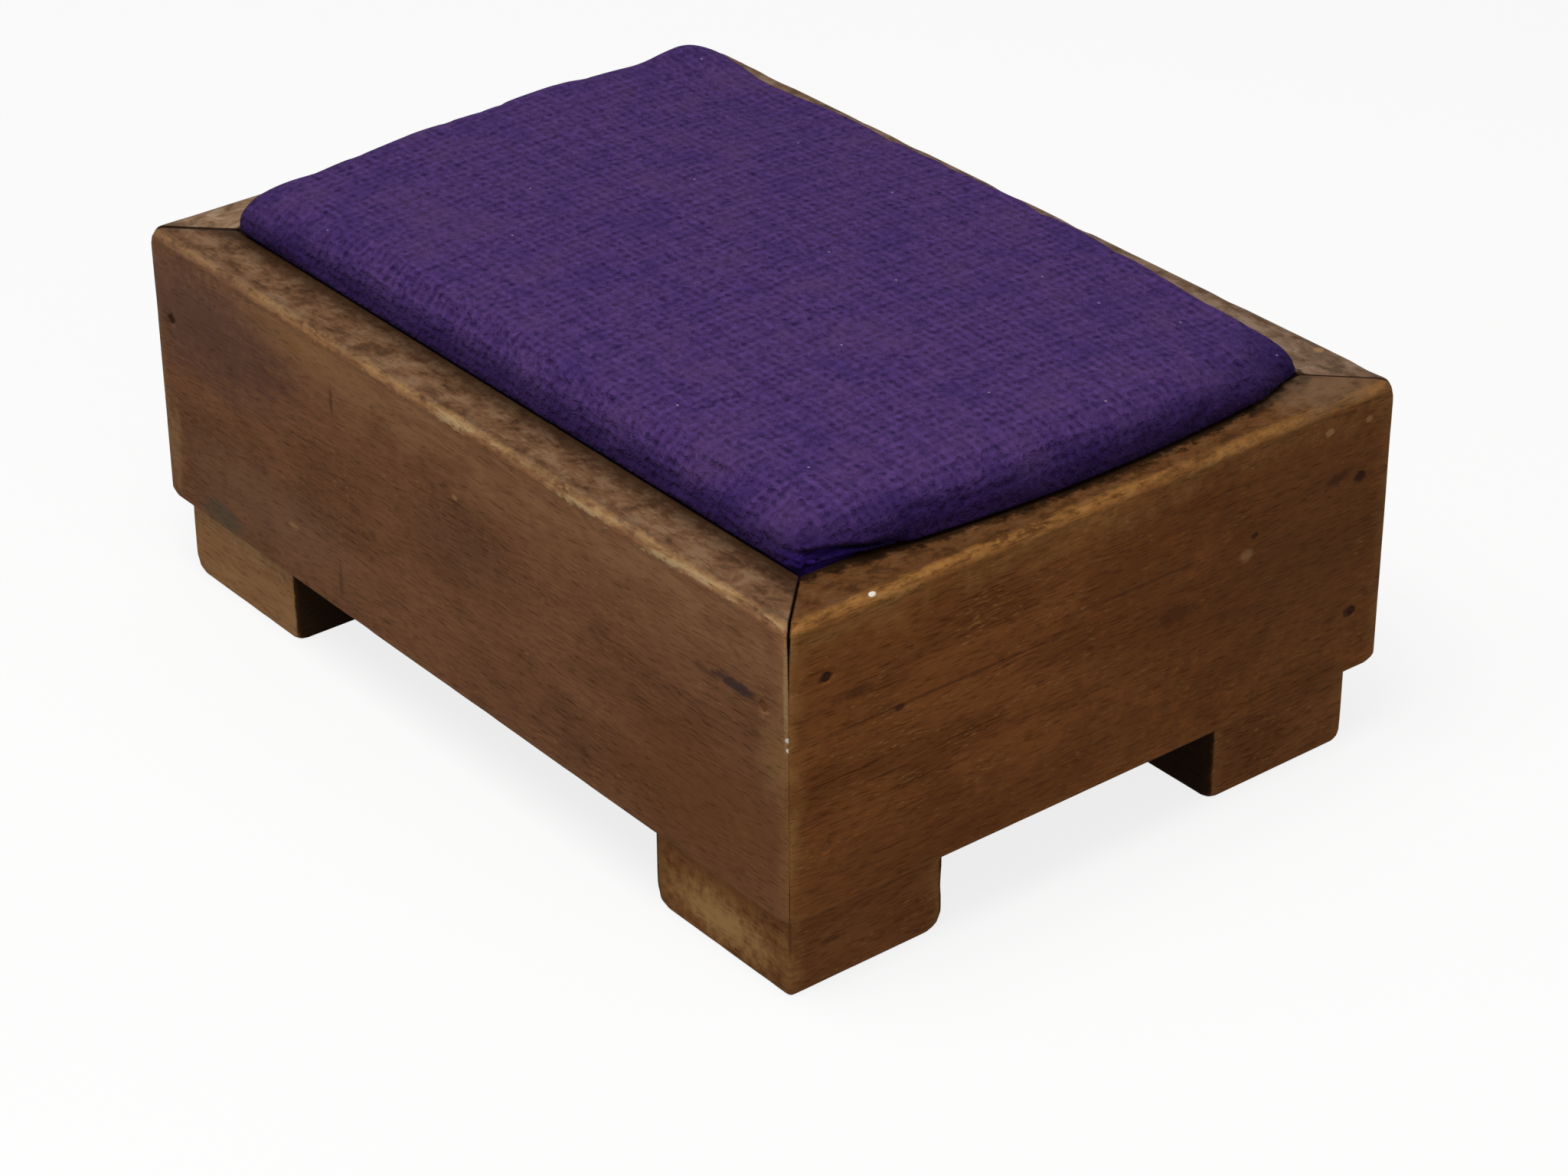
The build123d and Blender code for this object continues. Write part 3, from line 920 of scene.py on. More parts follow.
def drill(piece: bpy.types.Object, bores: Sequence[tuple[Vector, Vector, float]]) -> None:
    """Cut round bores out of a piece.

    Args:
        piece: the piece to drill.
        bores: start and end point and radius of each bore.
    """
    cutter = Mesh()
    for start, end, radius in bores:
        axis = end - start
        turn = axis.to_track_quat("Z", "Y").to_matrix().to_4x4()
        matrix = Matrix.Translation(start + axis / 2) @ turn
        bmesh.ops.create_cone(
            cutter.bm, cap_ends=True, segments=24, radius1=radius, radius2=radius,
            depth=axis.length, matrix=matrix,
        )
    tool = cutter.piece("bore_cutter")
    modifier = piece.modifiers.new("bores", "BOOLEAN")
    modifier.operation = "DIFFERENCE"
    modifier.solver = "EXACT"
    modifier.object = tool
    bake_modifiers(piece)
    bpy.data.objects.remove(tool)


def dress(piece: bpy.types.Object, material: bpy.types.Material) -> None:
    """Give a piece one material all over."""
    piece.data.materials.clear()
    piece.data.materials.append(material)


def dress_node(node: str, material: bpy.types.Material) -> None:
    """Give a carried-over node of the frame a finish in every slot."""
    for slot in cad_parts[node].material_slots:
        slot.material = material
    LOG.info("%s keeps its shape, finish %s", node, material.name)


def place_piece(piece: bpy.types.Object, body: str, slot: str, *nodes: str) -> None:
    """Let a piece ride on a body and stand for its nodes.

    Args:
        piece: the piece.
        body: the body that carries it.
        slot: not used.
        nodes: the nodes of the frame that it stands for.
    """
    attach(piece, body)
    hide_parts(*nodes)
    LOG.info("%s rides on %s for %s", piece.name, body, ", ".join(nodes))


def round_tip(place: Vector, tip: Vector, inward: Sequence[float], radius: float) -> Vector:
    """Shift that rounds a box corner to a ball at its tip, and less and less along its three edges.

    Args:
        place: the point.
        tip: the sharp tip of the corner.
        inward: for each axis 1 or -1, the way from the tip into the body.
        radius: the ball's radius.

    Returns:
        The shift, zero away from the corner.
    """
    here = radius * hump((place - tip).length, 1.6 * radius)
    depth = Vector([max(here - (place[axis] - tip[axis]) * inward[axis], 0.0) for axis in range(3)])
    if depth.length <= here:
        return Vector((0.0, 0.0, 0.0))
    excess = 1.0 - here / depth.length
    return Vector([depth[axis] * excess * inward[axis] for axis in range(3)])


@dataclass
class BoxFrame:
    """The mitred box: four rails with rounded, knocked edges and open mitre joints."""

    corner_round: float = 2.6 * MM
    rim_round: float = 3.5 * MM
    foot_round: float = 1.4 * MM
    well_round: float = 1.0 * MM
    tip_round: float = 5.0 * MM
    mitre_gap: float = 0.60 * MM
    left_gap: float = 1.30 * MM
    mitre_round: float = 0.25 * MM
    mitre_shut: float = 0.08 * MM
    shut_from: float = 6.0 * MM
    shut_to: float = 32.0 * MM
    slice_step: float = 4.0 * MM
    filler_room: float = 0.05 * MM
    filler_reach: float = 3.0 * MM
    low: Vector = field(init=False)
    high: Vector = field(init=False)
    well: tuple[float, float] = field(init=False)

    def __post_init__(self) -> None:
        """Take the box's corners and its well from the rails of the frame."""
        self.low = Vector((
            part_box("left_rail")[0][0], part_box("front_rail")[0][1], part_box("front_rail")[0][2]
        ))
        self.high = Vector((
            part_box("right_rail")[1][0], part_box("back_rail")[1][1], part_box("front_rail")[1][2]
        ))
        self.well = (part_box("right_rail")[0][0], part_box("back_rail")[0][1])

    def knocks(self, place: Vector, normal: Vector) -> Vector:
        """Small dents along the edges, rounded tips and a slight waviness of the faces.

        Args:
            place: a point of the rail.
            normal: its outward direction.

        Returns:
            How far the point moves.
        """
        shift = Vector((0.0, 0.0, 0.0))
        for corner in Corner:
            x, y = corner.value
            top = Vector((x * self.high.x, y * self.high.y, self.high.z))
            base = Vector((x * self.high.x, y * self.high.y, self.low.z))
            shift += round_tip(place, top, (-x, -y, -1), self.tip_round)
            shift += round_tip(place, base, (-x, -y, 1), 0.7 * self.tip_round)
        inset = [min(place[axis] - self.low[axis], self.high[axis] - place[axis]) for axis in range(3)]
        near_edge = 1.0 - smooth_step(sorted(inset)[1], 0.8 * MM, 5.0 * MM)
        upper = smooth_step(place.z, self.high.z - 9 * MM, self.high.z - 4 * MM)
        wave = noise.noise(place / (60 * MM)) * 0.08 * MM
        dent = max(noise.noise(place / (13 * MM) + Vector((7.0, 3.0, 1.0))) - 0.10, 0.0)
        return shift + normal * (wave - near_edge * dent * (0.25 + 0.75 * upper) * 0.9 * MM)

    def blank(self) -> Mesh:
        """The whole box as one rounded block, before it is cut into rails."""
        mesh = Mesh.box(self.low, self.high)
        mesh.round_edges(lambda a, b: min(a.z, b.z) > self.high.z - 1e-5, self.rim_round, 6)
        mesh.round_edges(self.on_arris, self.corner_round, 5)
        mesh.round_edges(lambda a, b: max(a.z, b.z) < self.low.z + 1e-5, self.foot_round, 3)
        return mesh

    def on_arris(self, first: Vector, second: Vector) -> bool:
        """True for the upright corner edges of the block, with their bend over the rim."""
        ends = (first, second)
        depth = [self.high.x - abs(end.x) - self.high.y + abs(end.y) for end in ends]
        near = all(self.high.x - abs(end.x) < self.rim_round + 1e-5 for end in ends)
        return near and max(abs(number) for number in depth) < 1e-5 and abs(first.z - second.z) > 1e-5

    def rail(self, side: Side) -> bpy.types.Object:
        """Model one rail.

        Args:
            side: which side of the box it is on.

        Returns:
            The rail's piece.
        """
        out, run = side.out, side.run
        mesh = self.blank()
        inner = Vector((out.x * self.well[0], out.y * self.well[1], 0.0))
        mesh.cut(inner, -out)
        for end in (-1, 1):
            tip = Vector((
                self.high.x * (out.x + end * run.x), self.high.y * (out.y + end * run.y), 0.0
            ))
            facing = (run * end - out).normalized()
            mesh.cut(tip - facing * self.gap_at(tip) / 2, facing)
        mesh.round_edges(lambda a, b: self.on_mitre(a, b, side), self.mitre_round, 2)
        mesh.round_edges(lambda a, b: self.on_well_edge(a, b, inner, out), self.well_round, 4)
        along = 0 if side.is_long else 1
        mesh.slice(self.low[along], self.high[along], along, self.slice_step)
        mesh.slice(self.low.z, self.high.z, 2, self.slice_step)
        mesh.shape(self.knocks)
        mesh.shape(self.shut_mitres(side))
        bmesh.ops.recalc_face_normals(mesh.bm, faces=mesh.bm.faces)
        piece = mesh.piece(f"worn_{side.rail}")
        drill(piece, self.nail_bores(side))
        return piece

    def gap_at(self, place: Vector) -> float:
        """Width of the mitre joint at the corner that a place is nearest to."""
        return self.left_gap if place.x < 0 and place.y < 0 else self.mitre_gap

    def face(self, side: Side) -> float:
        """Distance of a rail's outer face from the middle of the box."""
        return self.high.y if side.is_long else self.high.x

    def from_joint(self, place: Vector, side: Side) -> float:
        """How much farther a place lies from the rail's end than from its face, which is 0 on the mitre."""
        across = self.face(side) - place.dot(side.out)
        length = self.high.x if side.is_long else self.high.y
        return length - abs(place.dot(side.run)) - across

    def shut_mitres(self, side: Side) -> Callable[[Vector, Vector], Vector]:
        """A function that closes the mitre joints of one rail from the middle of their height down.

        Args:
            side: which side of the box the rail is on.

        Returns:
            A function from place and outward direction to a shift.
        """
        out, run = side.out, side.run

        def move(place: Vector, _: Vector) -> Vector:
            """Shift of one point towards its joint."""
            end = math.copysign(1.0, place.dot(run))
            away = self.from_joint(place, side) / math.sqrt(2.0)
            near = 1.0 - smooth_step(away, self.left_gap, 3.0 * self.left_gap)
            low = smooth_step(self.high.z - place.z, self.shut_from, self.shut_to)
            facing = (run * end - out).normalized()
            return facing * near * low * (self.gap_at(place) - self.mitre_shut) / 2

        return move

    def on_mitre(self, first: Vector, second: Vector, side: Side) -> bool:
        """True for an edge that lies in one of the rail's mitre faces, on the outside of the rail."""
        if max(abs(self.from_joint(end, side)) for end in (first, second)) > self.left_gap:
            return False
        depth = self.face(side) - ((first + second) / 2).dot(side.out)
        upright = abs(first.z - second.z) > 1e-4
        on_inner_face = depth > (self.high.x - self.well[0]) - 0.5 * MM and upright
        return not on_inner_face

    def on_well_edge(self, first: Vector, second: Vector, inner: Vector, out: Vector) -> bool:
        """True for the upper edge of the rail's inner face."""
        level = min(first.z, second.z) > self.high.z - 1e-5
        return level and max(abs((first - inner).dot(out)), abs((second - inner).dot(out))) < 1e-5

    def nail_bores(self, side: Side) -> list[tuple[Vector, Vector, float]]:
        """Bores over the punched nails of one rail, as start, end and radius."""
        out = side.out
        bores = []
        for low, high in islands("nail_hole_filler"):
            middle = (low + high) / 2
            size = high - low
            depth = abs(size.dot(out))
            radius = size.z / 2 + self.filler_room
            shallow = depth < size.z
            if shallow and abs(middle.dot(out) - self.face(side)) < self.filler_reach:
                start = middle + out * self.filler_reach
                end = middle - out * (depth / 2)
                bores.append((start, end, radius))
        return bores

    def build(self, finishes: dict[Side, bpy.types.Material]) -> None:
        """Model and dress the four rails.

        Args:
            finishes: the finish of each rail.
        """
        for side in Side:
            piece = self.rail(side)
            dress(piece, finishes[side])
            place_piece(piece, "frame", "stained_beech", side.rail)


@dataclass
class BlockFeet:
    """Four block feet with worn arrises, bored from below for their screws."""

    corner_round: float = 1.3 * MM
    base_round: float = 1.8 * MM
    tip_round: float = 2.8 * MM
    worn_tip: float = 3.8 * MM
    sharp_tip: float = 2.0 * MM
    slice_step: float = 4.0 * MM
    bore_radius: float = 5.0 * MM

    def tip_radius(self, corner: Corner, tip: tuple[int, int]) -> float:
        """How far from one lower tip of a foot its rounding starts.

        Args:
            corner: which corner the foot stands under.
            tip: signs of X and Y of the tip, seen from the foot's middle.

        Returns:
            The distance in metres.
        """
        front = corner in (Corner.FRONT_LEFT, Corner.FRONT_RIGHT)
        if corner is Corner.FRONT_RIGHT and tip == corner.value:
            return self.sharp_tip
        worn = front and tip == (-1, -1) or corner is Corner.FRONT_RIGHT and tip == (1, 1)
        return self.worn_tip if worn else self.tip_round

    def knocks(self, corner: Corner, low: Vector, high: Vector) -> Callable[[Vector, Vector], Vector]:
        """A function that rounds the lower tips of one foot and dents its lower edges.

        Args:
            corner: which corner it stands under.
            low: the foot's lowest corner.
            high: its highest corner.

        Returns:
            A function from place and outward direction to a shift.
        """

        def move(place: Vector, normal: Vector) -> Vector:
            """Shift of one point of the foot."""
            shift = Vector((0.0, 0.0, 0.0))
            for x, tip_x in ((1, low.x), (-1, high.x)):
                for y, tip_y in ((1, low.y), (-1, high.y)):
                    radius = self.tip_radius(corner, (-x, -y))
                    shift += round_tip(place, Vector((tip_x, tip_y, low.z)), (x, y, 1), radius)
            inset = sorted(
                min(place[axis] - low[axis], high[axis] - place[axis]) for axis in range(3)
            )
            near_edge = 1.0 - smooth_step(inset[1], 1.0 * MM, 6.0 * MM)
            dent = max(noise.noise(place / (12 * MM)) - 0.05, 0.0)
            held = smooth_step(place.z, 0.05 * MM, 1.0 * MM)
            top = smooth_step(high.z - place.z, 1.0 * MM, 8.0 * MM)
            return shift - normal * near_edge * dent * 0.8 * MM * held * top

        return move

    def foot(self, corner: Corner) -> bpy.types.Object:
        """Model one foot.

        Args:
            corner: which corner it stands under.

        Returns:
            The foot's piece.
        """
        low, high = (Vector(point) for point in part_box(corner.foot))
        mesh = Mesh.box(low, high)
        mesh.round_edges(lambda a, b: abs(a.z - b.z) > MM, self.corner_round, 5)
        mesh.round_edges(lambda a, b: max(a.z, b.z) < low.z + 1e-5, self.base_round, 5)
        for axis in range(3):
            mesh.slice(low[axis], high[axis], axis, self.slice_step)
        mesh.shape(self.knocks(corner, low, high))
        bmesh.ops.recalc_face_normals(mesh.bm, faces=mesh.bm.faces)
        piece = mesh.piece(f"worn_{corner.foot}")
        drill(piece, self.screw_bores(corner))
        return piece

    def screw_bores(self, corner: Corner) -> list[tuple[Vector, Vector, float]]:
        """Counterbores for the heads of one foot's screws, as start, end and radius."""
        bores = []
        for low, high in islands("foot_screws"):
            middle = (low + high) / 2
            if middle.x * corner.value[0] < 0 or middle.y * corner.value[1] < 0:
                continue
            head_radius = (high.x - low.x) / 2
            seat = low.z + head_radius * 0.65
            below = Vector((middle.x, middle.y, -MM))
            bores.append((below, Vector((middle.x, middle.y, seat)), self.bore_radius))
        return bores

    def build(self, finishes: dict[Corner, bpy.types.Material]) -> None:
        """Model and dress the four feet.

        Args:
            finishes: the finish of each foot.
        """
        for corner in Corner:
            piece = self.foot(corner)
            dress(piece, finishes[corner])
            place_piece(piece, "frame", "stained_beech", corner.foot)


@dataclass(frozen=True)
class Swelling:
    """One soft rise of the cushion's top, or a hollow where its height is negative."""

    place: tuple[float, float]
    reach: tuple[float, float]
    height: float

    def at(self, x: float, y: float) -> float:
        """Height of the swelling at a place of the top."""
        across = ((x - self.place[0]) / self.reach[0]) ** 2
        along = ((y - self.place[1]) / self.reach[1]) ** 2
        return self.height * math.exp(-across - along)


@dataclass
class DropInSeat:
    """The upholstered seat: cloth drawn over a crowned pad, swelling over the rim, turned under the board."""

    cell: float = 2.0 * MM
    shoulder_rings: int = 34
    shoulder: dict[Side, float] = field(default_factory=lambda: {
        Side.FRONT: 15 * MM, Side.RIGHT: 27 * MM, Side.BACK: 12 * MM, Side.LEFT: 15 * MM,
    })
    squareness: float = 2.4
    top_corner: float = 20.0 * MM
    near_corner: float = 32.0 * MM
    edge_corner: float = 6.0 * MM
    overlap: float = 1.4 * MM
    right_swell: float = 11.0 * MM
    left_swell: float = 2.4 * MM
    long_swell: float = 0.4 * MM
    lip: float = 1.6 * MM
    lip_gap: float = 0.3 * MM
    crown: float = 19.6 * MM
    drop: float = 3.0 * MM
    hem_turn: float = 1.0 * MM
    hem_reach: float = 28.0 * MM
    cloth: float = 1.0 * MM
    puff: float = 3.0
    puff_most: float = 1.2 * MM
    settle_frames: int = 20
    fold_length: float = 38.0 * MM
    pad_room: float = 2.2 * MM
    pad_lift: float = 0.2 * MM
    pad_cells: tuple[int, int] = (60, 40)
    swellings: tuple[Swelling, ...] = (
        Swelling((-145 * MM, 45 * MM), (34 * MM, 75 * MM), 2.7 * MM),
        Swelling((-150 * MM, 86 * MM), (16 * MM, 16 * MM), 6.2 * MM),
        Swelling((-150 * MM, 66 * MM), (8 * MM, 8 * MM), -0.9 * MM),
        Swelling((-150 * MM, 28 * MM), (14 * MM, 14 * MM), 0.6 * MM),
        Swelling((-150 * MM, -4 * MM), (12 * MM, 12 * MM), -0.9 * MM),
        Swelling((-88 * MM, 77 * MM), (52 * MM, 10 * MM), -1.9 * MM),
        Swelling((60 * MM, 20 * MM), (50 * MM, 40 * MM), 0.5 * MM),
        Swelling((150 * MM, 98 * MM), (44 * MM, 30 * MM), -4.6 * MM),
    )
    rim: float = field(init=False)
    half: Vector = field(init=False)
    board_top: float = field(init=False)
    hem_low: float = field(init=False)

    def __post_init__(self) -> None:
        """Take the seat's room from the frame."""
        self.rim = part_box("front_rail")[1][2]
        board_low, board_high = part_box("seat_board")
        self.board_top = board_high[2]
        self.hem_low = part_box("seat_cover")[0][2]
        margin = board_low[2] - self.hem_low
        self.half = Vector((board_high[0] + margin, board_high[1] + margin, 0.0))

    def top_height(self, x: float, y: float) -> float:
        """Height of the cloth over the rim: a crown with the hollows and swellings of long use.

        Args:
            x: place along the stool.
            y: place across the stool.

        Returns:
            The height in metres.
        """
        height = self.crown - self.drop * ((x / self.half.x) ** 2 + (y / self.half.y) ** 2)
        height += sum(swelling.at(x, y) for swelling in self.swellings)
        height += 0.45 * MM * noise.noise(Vector((x, y, 0.0)) / (38 * MM))
        return height + 0.16 * MM * noise.noise(Vector((x, y, 0.02)) / (11 * MM))

    def top_corner_at(self, u: float, v: float) -> float:
        """Corner radius of the cushion's top, which is fullest at the front right."""
        return self.near_corner if u > 0 > v else self.top_corner

    def outline(self, u: float, v: float, part: float, over: float, swell: float,
                corner: float) -> Vector:
        """Place in plan of a point of one ring of the cloth.

        Args:
            u: share of the half length, from -1 to 1.
            v: share of the half width, from -1 to 1.
            part: how much of each side's shoulder lies outside the ring, from 0 to 1.
            over: how far the ring stands out over the seat's own outline.
            swell: how much of the sides' swelling it has, from 0 to 1.
            corner: its corner radius.

        Returns:
            The place, with a height of 0.
        """
        beside = self.shoulder[Side.RIGHT if u > 0 else Side.LEFT]
        facing = self.shoulder[Side.BACK if v > 0 else Side.FRONT]
        reach = (self.half.x - part * beside + over, self.half.y - part * facing + over)
        place = [abs(u) * reach[0], abs(v) * reach[1]]
        beyond = [place[0] - reach[0] + corner, place[1] - reach[1] + corner]
        if beyond[0] > 0 and beyond[1] > 0:
            place[0] += beyond[0] * (math.sqrt(1 - (beyond[1] / corner) ** 2 / 2) - 1)
            place[1] += beyond[1] * (math.sqrt(1 - (beyond[0] / corner) ** 2 / 2) - 1)
        off_corner = smooth_step(self.half.y - place[1], 0.0, 24 * MM)
        bow = max(1 - ((math.copysign(place[1], v) - BOW_MIDDLE) / BOW_REACH) ** 2, 0.0)
        out = (self.right_swell * bow if u > 0 else self.left_swell) * off_corner
        out_long = self.long_swell * smooth_step(self.half.x - place[0], 0.0, 30 * MM)
        return Vector((
            math.copysign(place[0] + out * swell * place[0] / reach[0], u),
            math.copysign(place[1] + out_long * swell * place[1] / reach[1], v),
            0.0,
        ))

    def rings(self, u: float, v: float, top: float) -> list[Vector]:
        """The rings of the cloth outside its top, from the shoulder to the hem, at one place of the edge.

        Args:
            u: share of the half length.
            v: share of the half width.
            top: height where the shoulder starts.

        Returns:
            The place of each ring.
        """
        made = []

        def add(height: float, part: float, over: float, swell: float, corner: float) -> None:
            """Set down the next ring's place."""
            place = self.outline(u, v, part, over, swell, corner)
            place.z = height
            made.append(place)

        lip_top = self.rim + self.lip_gap + self.lip
        power = 2 / self.squareness
        top_corner = self.top_corner_at(u, v)
        fullness = 1 if top_corner == self.top_corner else 3
        for index in range(1, self.shoulder_rings + 1):
            angle = math.pi / 2 * index / self.shoulder_rings
            out = math.sin(angle) ** power
            level = max(math.cos(angle), 0.0) ** power if index < self.shoulder_rings else 0.0
            corner = self.edge_corner + (top_corner - self.edge_corner) * (1 - out ** fullness)
            add(lip_top + (top - lip_top) * level, 1 - out, self.overlap, 1.0, corner)
        for index in range(1, 6):
            angle = math.pi / 2 * index / 5
            share = math.cos(angle)
            add(lip_top - self.lip * math.sin(angle), 0.0, self.overlap * share, share,
                self.edge_corner)
        rim_level = lip_top - self.lip
        floor = self.hem_low + self.hem_turn
        for index in range(1, 6):
            add(rim_level + (floor - rim_level) * index / 5, 0.0, 0.0, 0.0, self.edge_corner)
        for index in range(1, 4):
            angle = math.pi / 2 * index / 3
            add(floor - self.hem_turn * math.sin(angle), 0.0,
                -self.hem_turn * (1 - math.cos(angle)), 0.0, self.edge_corner)
        for index in range(1, 9):
            over = -self.hem_turn - (self.hem_reach - self.hem_turn) * index / 8
            add(self.hem_low, 0.0, over, 0.0, self.edge_corner)
        return made

    def cover(self) -> bpy.types.Object:
        """Model the cloth from its flat middle outwards, ring by ring.

        Returns:
            The cover's piece.
        """
        mesh = Mesh()
        bm = mesh.bm
        counts = (
            int(round((2 * self.half.x - self.shoulder[Side.LEFT] - self.shoulder[Side.RIGHT]) / self.cell)),
            int(round((2 * self.half.y - self.shoulder[Side.FRONT] - self.shoulder[Side.BACK]) / self.cell)),
        )
        bmesh.ops.create_grid(bm, x_segments=counts[0], y_segments=counts[1], size=1.0)
        share = {vert: (vert.co.x, vert.co.y) for vert in bm.verts}
        travel = {vert: (0.0, 0.0) for vert in bm.verts}
        for vert, (u, v) in share.items():
            place = self.outline(u, v, 1.0, self.overlap, 1.0, self.top_corner_at(u, v))
            place.z = self.rim + self.top_height(place.x, place.y)
            vert.co = place
        edges = [edge for edge in bm.edges if edge.is_boundary]
        paths = {
            share[vert]: self.rings(*share[vert], vert.co.z)
            for vert in {vert for edge in edges for vert in edge.verts}
        }
        for ring in range(len(next(iter(paths.values())))):
            pairs, edges = mesh.extrude(edges)
            for vert, old in pairs:
                share[vert] = share[old]
                vert.co = paths[share[old]][ring]
                moved = vert.co - old.co
                travel[vert] = (
                    travel[old][0] + math.hypot(moved.x, moved.z),
                    travel[old][1] + math.hypot(moved.y, moved.z),
                )
        self.lay_flat(bm, share, travel)
        bmesh.ops.recalc_face_normals(bm, faces=bm.faces)
        return mesh.piece("seat_cloth", math.radians(80))

    def lay_flat(self, bm: bmesh.types.BMesh, share: dict, travel: dict) -> None:
        """Give the cloth a UV map in metres, as it lies flat before it is drawn over the pad.

        Args:
            bm: the cloth.
            share: place in the grid of each point, from -1 to 1.
            travel: how far down the cloth each point lies from the flat top, on a short and a long side.
        """
        layer = bm.loops.layers.uv.new("flat")
        for face in bm.faces:
            off_top = any(travel[vert][0] > 0 for vert in face.verts)
            short = off_top and all(abs(share[vert][0]) > 1 - 1e-6 for vert in face.verts)
            for loop in face.loops:
                u, v = share[loop.vert]
                edge = self.outline(u, v, 1.0, self.overlap, 1.0, self.top_corner_at(u, v))
                place = loop.vert.co
                away = travel[loop.vert]
                if not off_top:
                    loop[layer].uv = (place.x, place.y)
                elif short:
                    loop[layer].uv = (edge.x + math.copysign(away[0], u), place.y)
                else:
                    loop[layer].uv = (place.x, edge.y + math.copysign(away[1], v))

    def settle(self, cover: bpy.types.Object) -> None:
        """Puff the cloth up from below by simulation, held where it goes into the well.

        Args:
            cover: the cover's piece.
        """
        held = cover.vertex_groups.new(name="held")
        held.add(
            [vert.index for vert in cover.data.vertices if vert.co.z < self.rim + self.lip_gap + self.lip],
            1.0, "REPLACE",
        )
        modifier = cover.modifiers.new("settle", "CLOTH")
        modifier.settings.vertex_group_mass = "held"
        modifier.settings.quality = 4
        modifier.settings.mass = 0.25
        modifier.settings.tension_stiffness = 12.0
        modifier.settings.compression_stiffness = 8.0
        modifier.settings.bending_stiffness = 1.5
        modifier.settings.shrink_min = -0.008
        modifier.settings.use_pressure = True
        modifier.settings.uniform_pressure_force = self.puff
        modifier.settings.effector_weights.gravity = 0.0
        modifier.point_cache.frame_start = 1
        modifier.point_cache.frame_end = self.settle_frames
        for step in range(1, self.settle_frames + 1):
            bpy.context.scene.frame_set(step)
        evaluated = cover.evaluated_get(bpy.context.evaluated_depsgraph_get())
        settled = [vert.co.copy() for vert in evaluated.data.vertices]
        cover.modifiers.remove(modifier)
        cover.vertex_groups.remove(held)
        bpy.context.scene.frame_set(1)
        for vert, place in zip(cover.data.vertices, settled):
            shift = place - vert.co
            vert.co += shift * min(self.puff_most / max(shift.length, 1e-9), 1.0)

    def fold(self, cover: bpy.types.Object) -> None:
        """Press in the folded corner where the cloth is tucked under on the short side.

        Args:
            cover: the cover's piece.
        """
        corner_y = -self.half.y
        shifts = []
        for vert in cover.data.vertices:
            shift = Vector((0.0, 0.0, 0.0))
            height = vert.co.z - self.rim
            along = (vert.co.y - corner_y) / self.fold_length
            if vert.co.x > 0.80 * self.half.x and height > 0 and -0.2 < along < 1.0:
                share = max(along, 0.0)
                beside = (vert.co.y - corner_y) - (self.half.x - vert.co.x)
                crease = (7.4 - 5.0 * share) * MM
                roll = hump(height - crease - 1.2 * MM, 1.1 * MM) * 0.8 * MM
                tucked = (1 - smooth_step(height, crease - 0.7 * MM, crease + 0.2 * MM)) * 2.4 * MM
                groove = hump(height - crease + 0.8 * MM, 0.9 * MM) * 1.4 * MM
                fade = (1 - smooth_step(share, 0.7, 1.0)) * smooth_step(beside, -1.0 * MM, 3.0 * MM)
                shift = vert.normal * (roll - groove - tucked) * fade
            shifts.append(shift)
        for vert, shift in zip(cover.data.vertices, shifts):
            vert.co += shift

    def build(self, cloth: bpy.types.Material, wadding: bpy.types.Material) -> None:
        """Model and dress the cover and the stuffing.

        Args:
            cloth: the cover's finish.
            wadding: the stuffing's finish.
        """
        cover = self.cover()
        self.settle(cover)
        self.fold(cover)
        thickness = cover.modifiers.new("cloth", "SOLIDIFY")
        thickness.thickness = self.cloth
        thickness.offset = -1.0
        dress(cover, cloth)
        place_piece(cover, "seat", "purple_cloth", "seat_cover")
        pad = self.stuffing()
        dress(pad, wadding)
        place_piece(pad, "seat", "stuffing", "seat_stuffing")
        drawn_over = self.rim + self.crown - self.hem_low + self.hem_reach
        2 * (self.half.x + drawn_over)
        2 * (self.half.y + drawn_over)

    def stuffing(self) -> bpy.types.Object:
        """Model the pad under the cloth: crowned, drawn in at the sides, flat on the board.

        Returns:
            The pad's piece.
        """
        mesh = Mesh()
        room = self.pad_room
        long_cells, short_cells = self.pad_cells
        bmesh.ops.create_grid(mesh.bm, x_segments=long_cells, y_segments=short_cells, size=1.0)
        share = {vert: (vert.co.x, vert.co.y) for vert in mesh.bm.verts}
        for vert, (u, v) in share.items():
            place = self.outline(u, v, 1.0, self.overlap - room, 1.0, self.top_corner_at(u, v))
            place.z = self.rim + self.top_height(place.x, place.y) - room
            vert.co = place
        edges = [edge for edge in mesh.bm.edges if edge.is_boundary]
        for part, level, swell in ((0.55, 0.84, 1.0), (0.2, 0.56, 1.0), (0.05, 0.2, 0.8), (0.0, 0.0, 0.0)):
            pairs, edges = mesh.extrude(edges)
            for vert, old in pairs:
                share[vert] = share[old]
                u, v = share[vert]
                over = (self.overlap if level else 0.0) - room
                place = self.outline(u, v, part, over, swell, self.edge_corner)
                top = self.rim + self.top_height(place.x, place.y) - room
                place.z = self.rim + room + (top - self.rim - room) * level
                if not level:
                    place.z = self.board_top + self.pad_lift
                at_fold = smooth_step(place.x, 0.7 * self.half.x, 0.9 * self.half.x)
                at_fold *= 1 - smooth_step(place.y + self.half.y, 30 * MM, 55 * MM)
                vert.co = place - Vector((3.0 * MM, -2.0 * MM, 0.0)) * at_fold
        bmesh.ops.edgeloop_fill(mesh.bm, edges=edges)
        bmesh.ops.recalc_face_normals(mesh.bm, faces=mesh.bm.faces)
        return mesh.piece("seat_pad", math.radians(60))


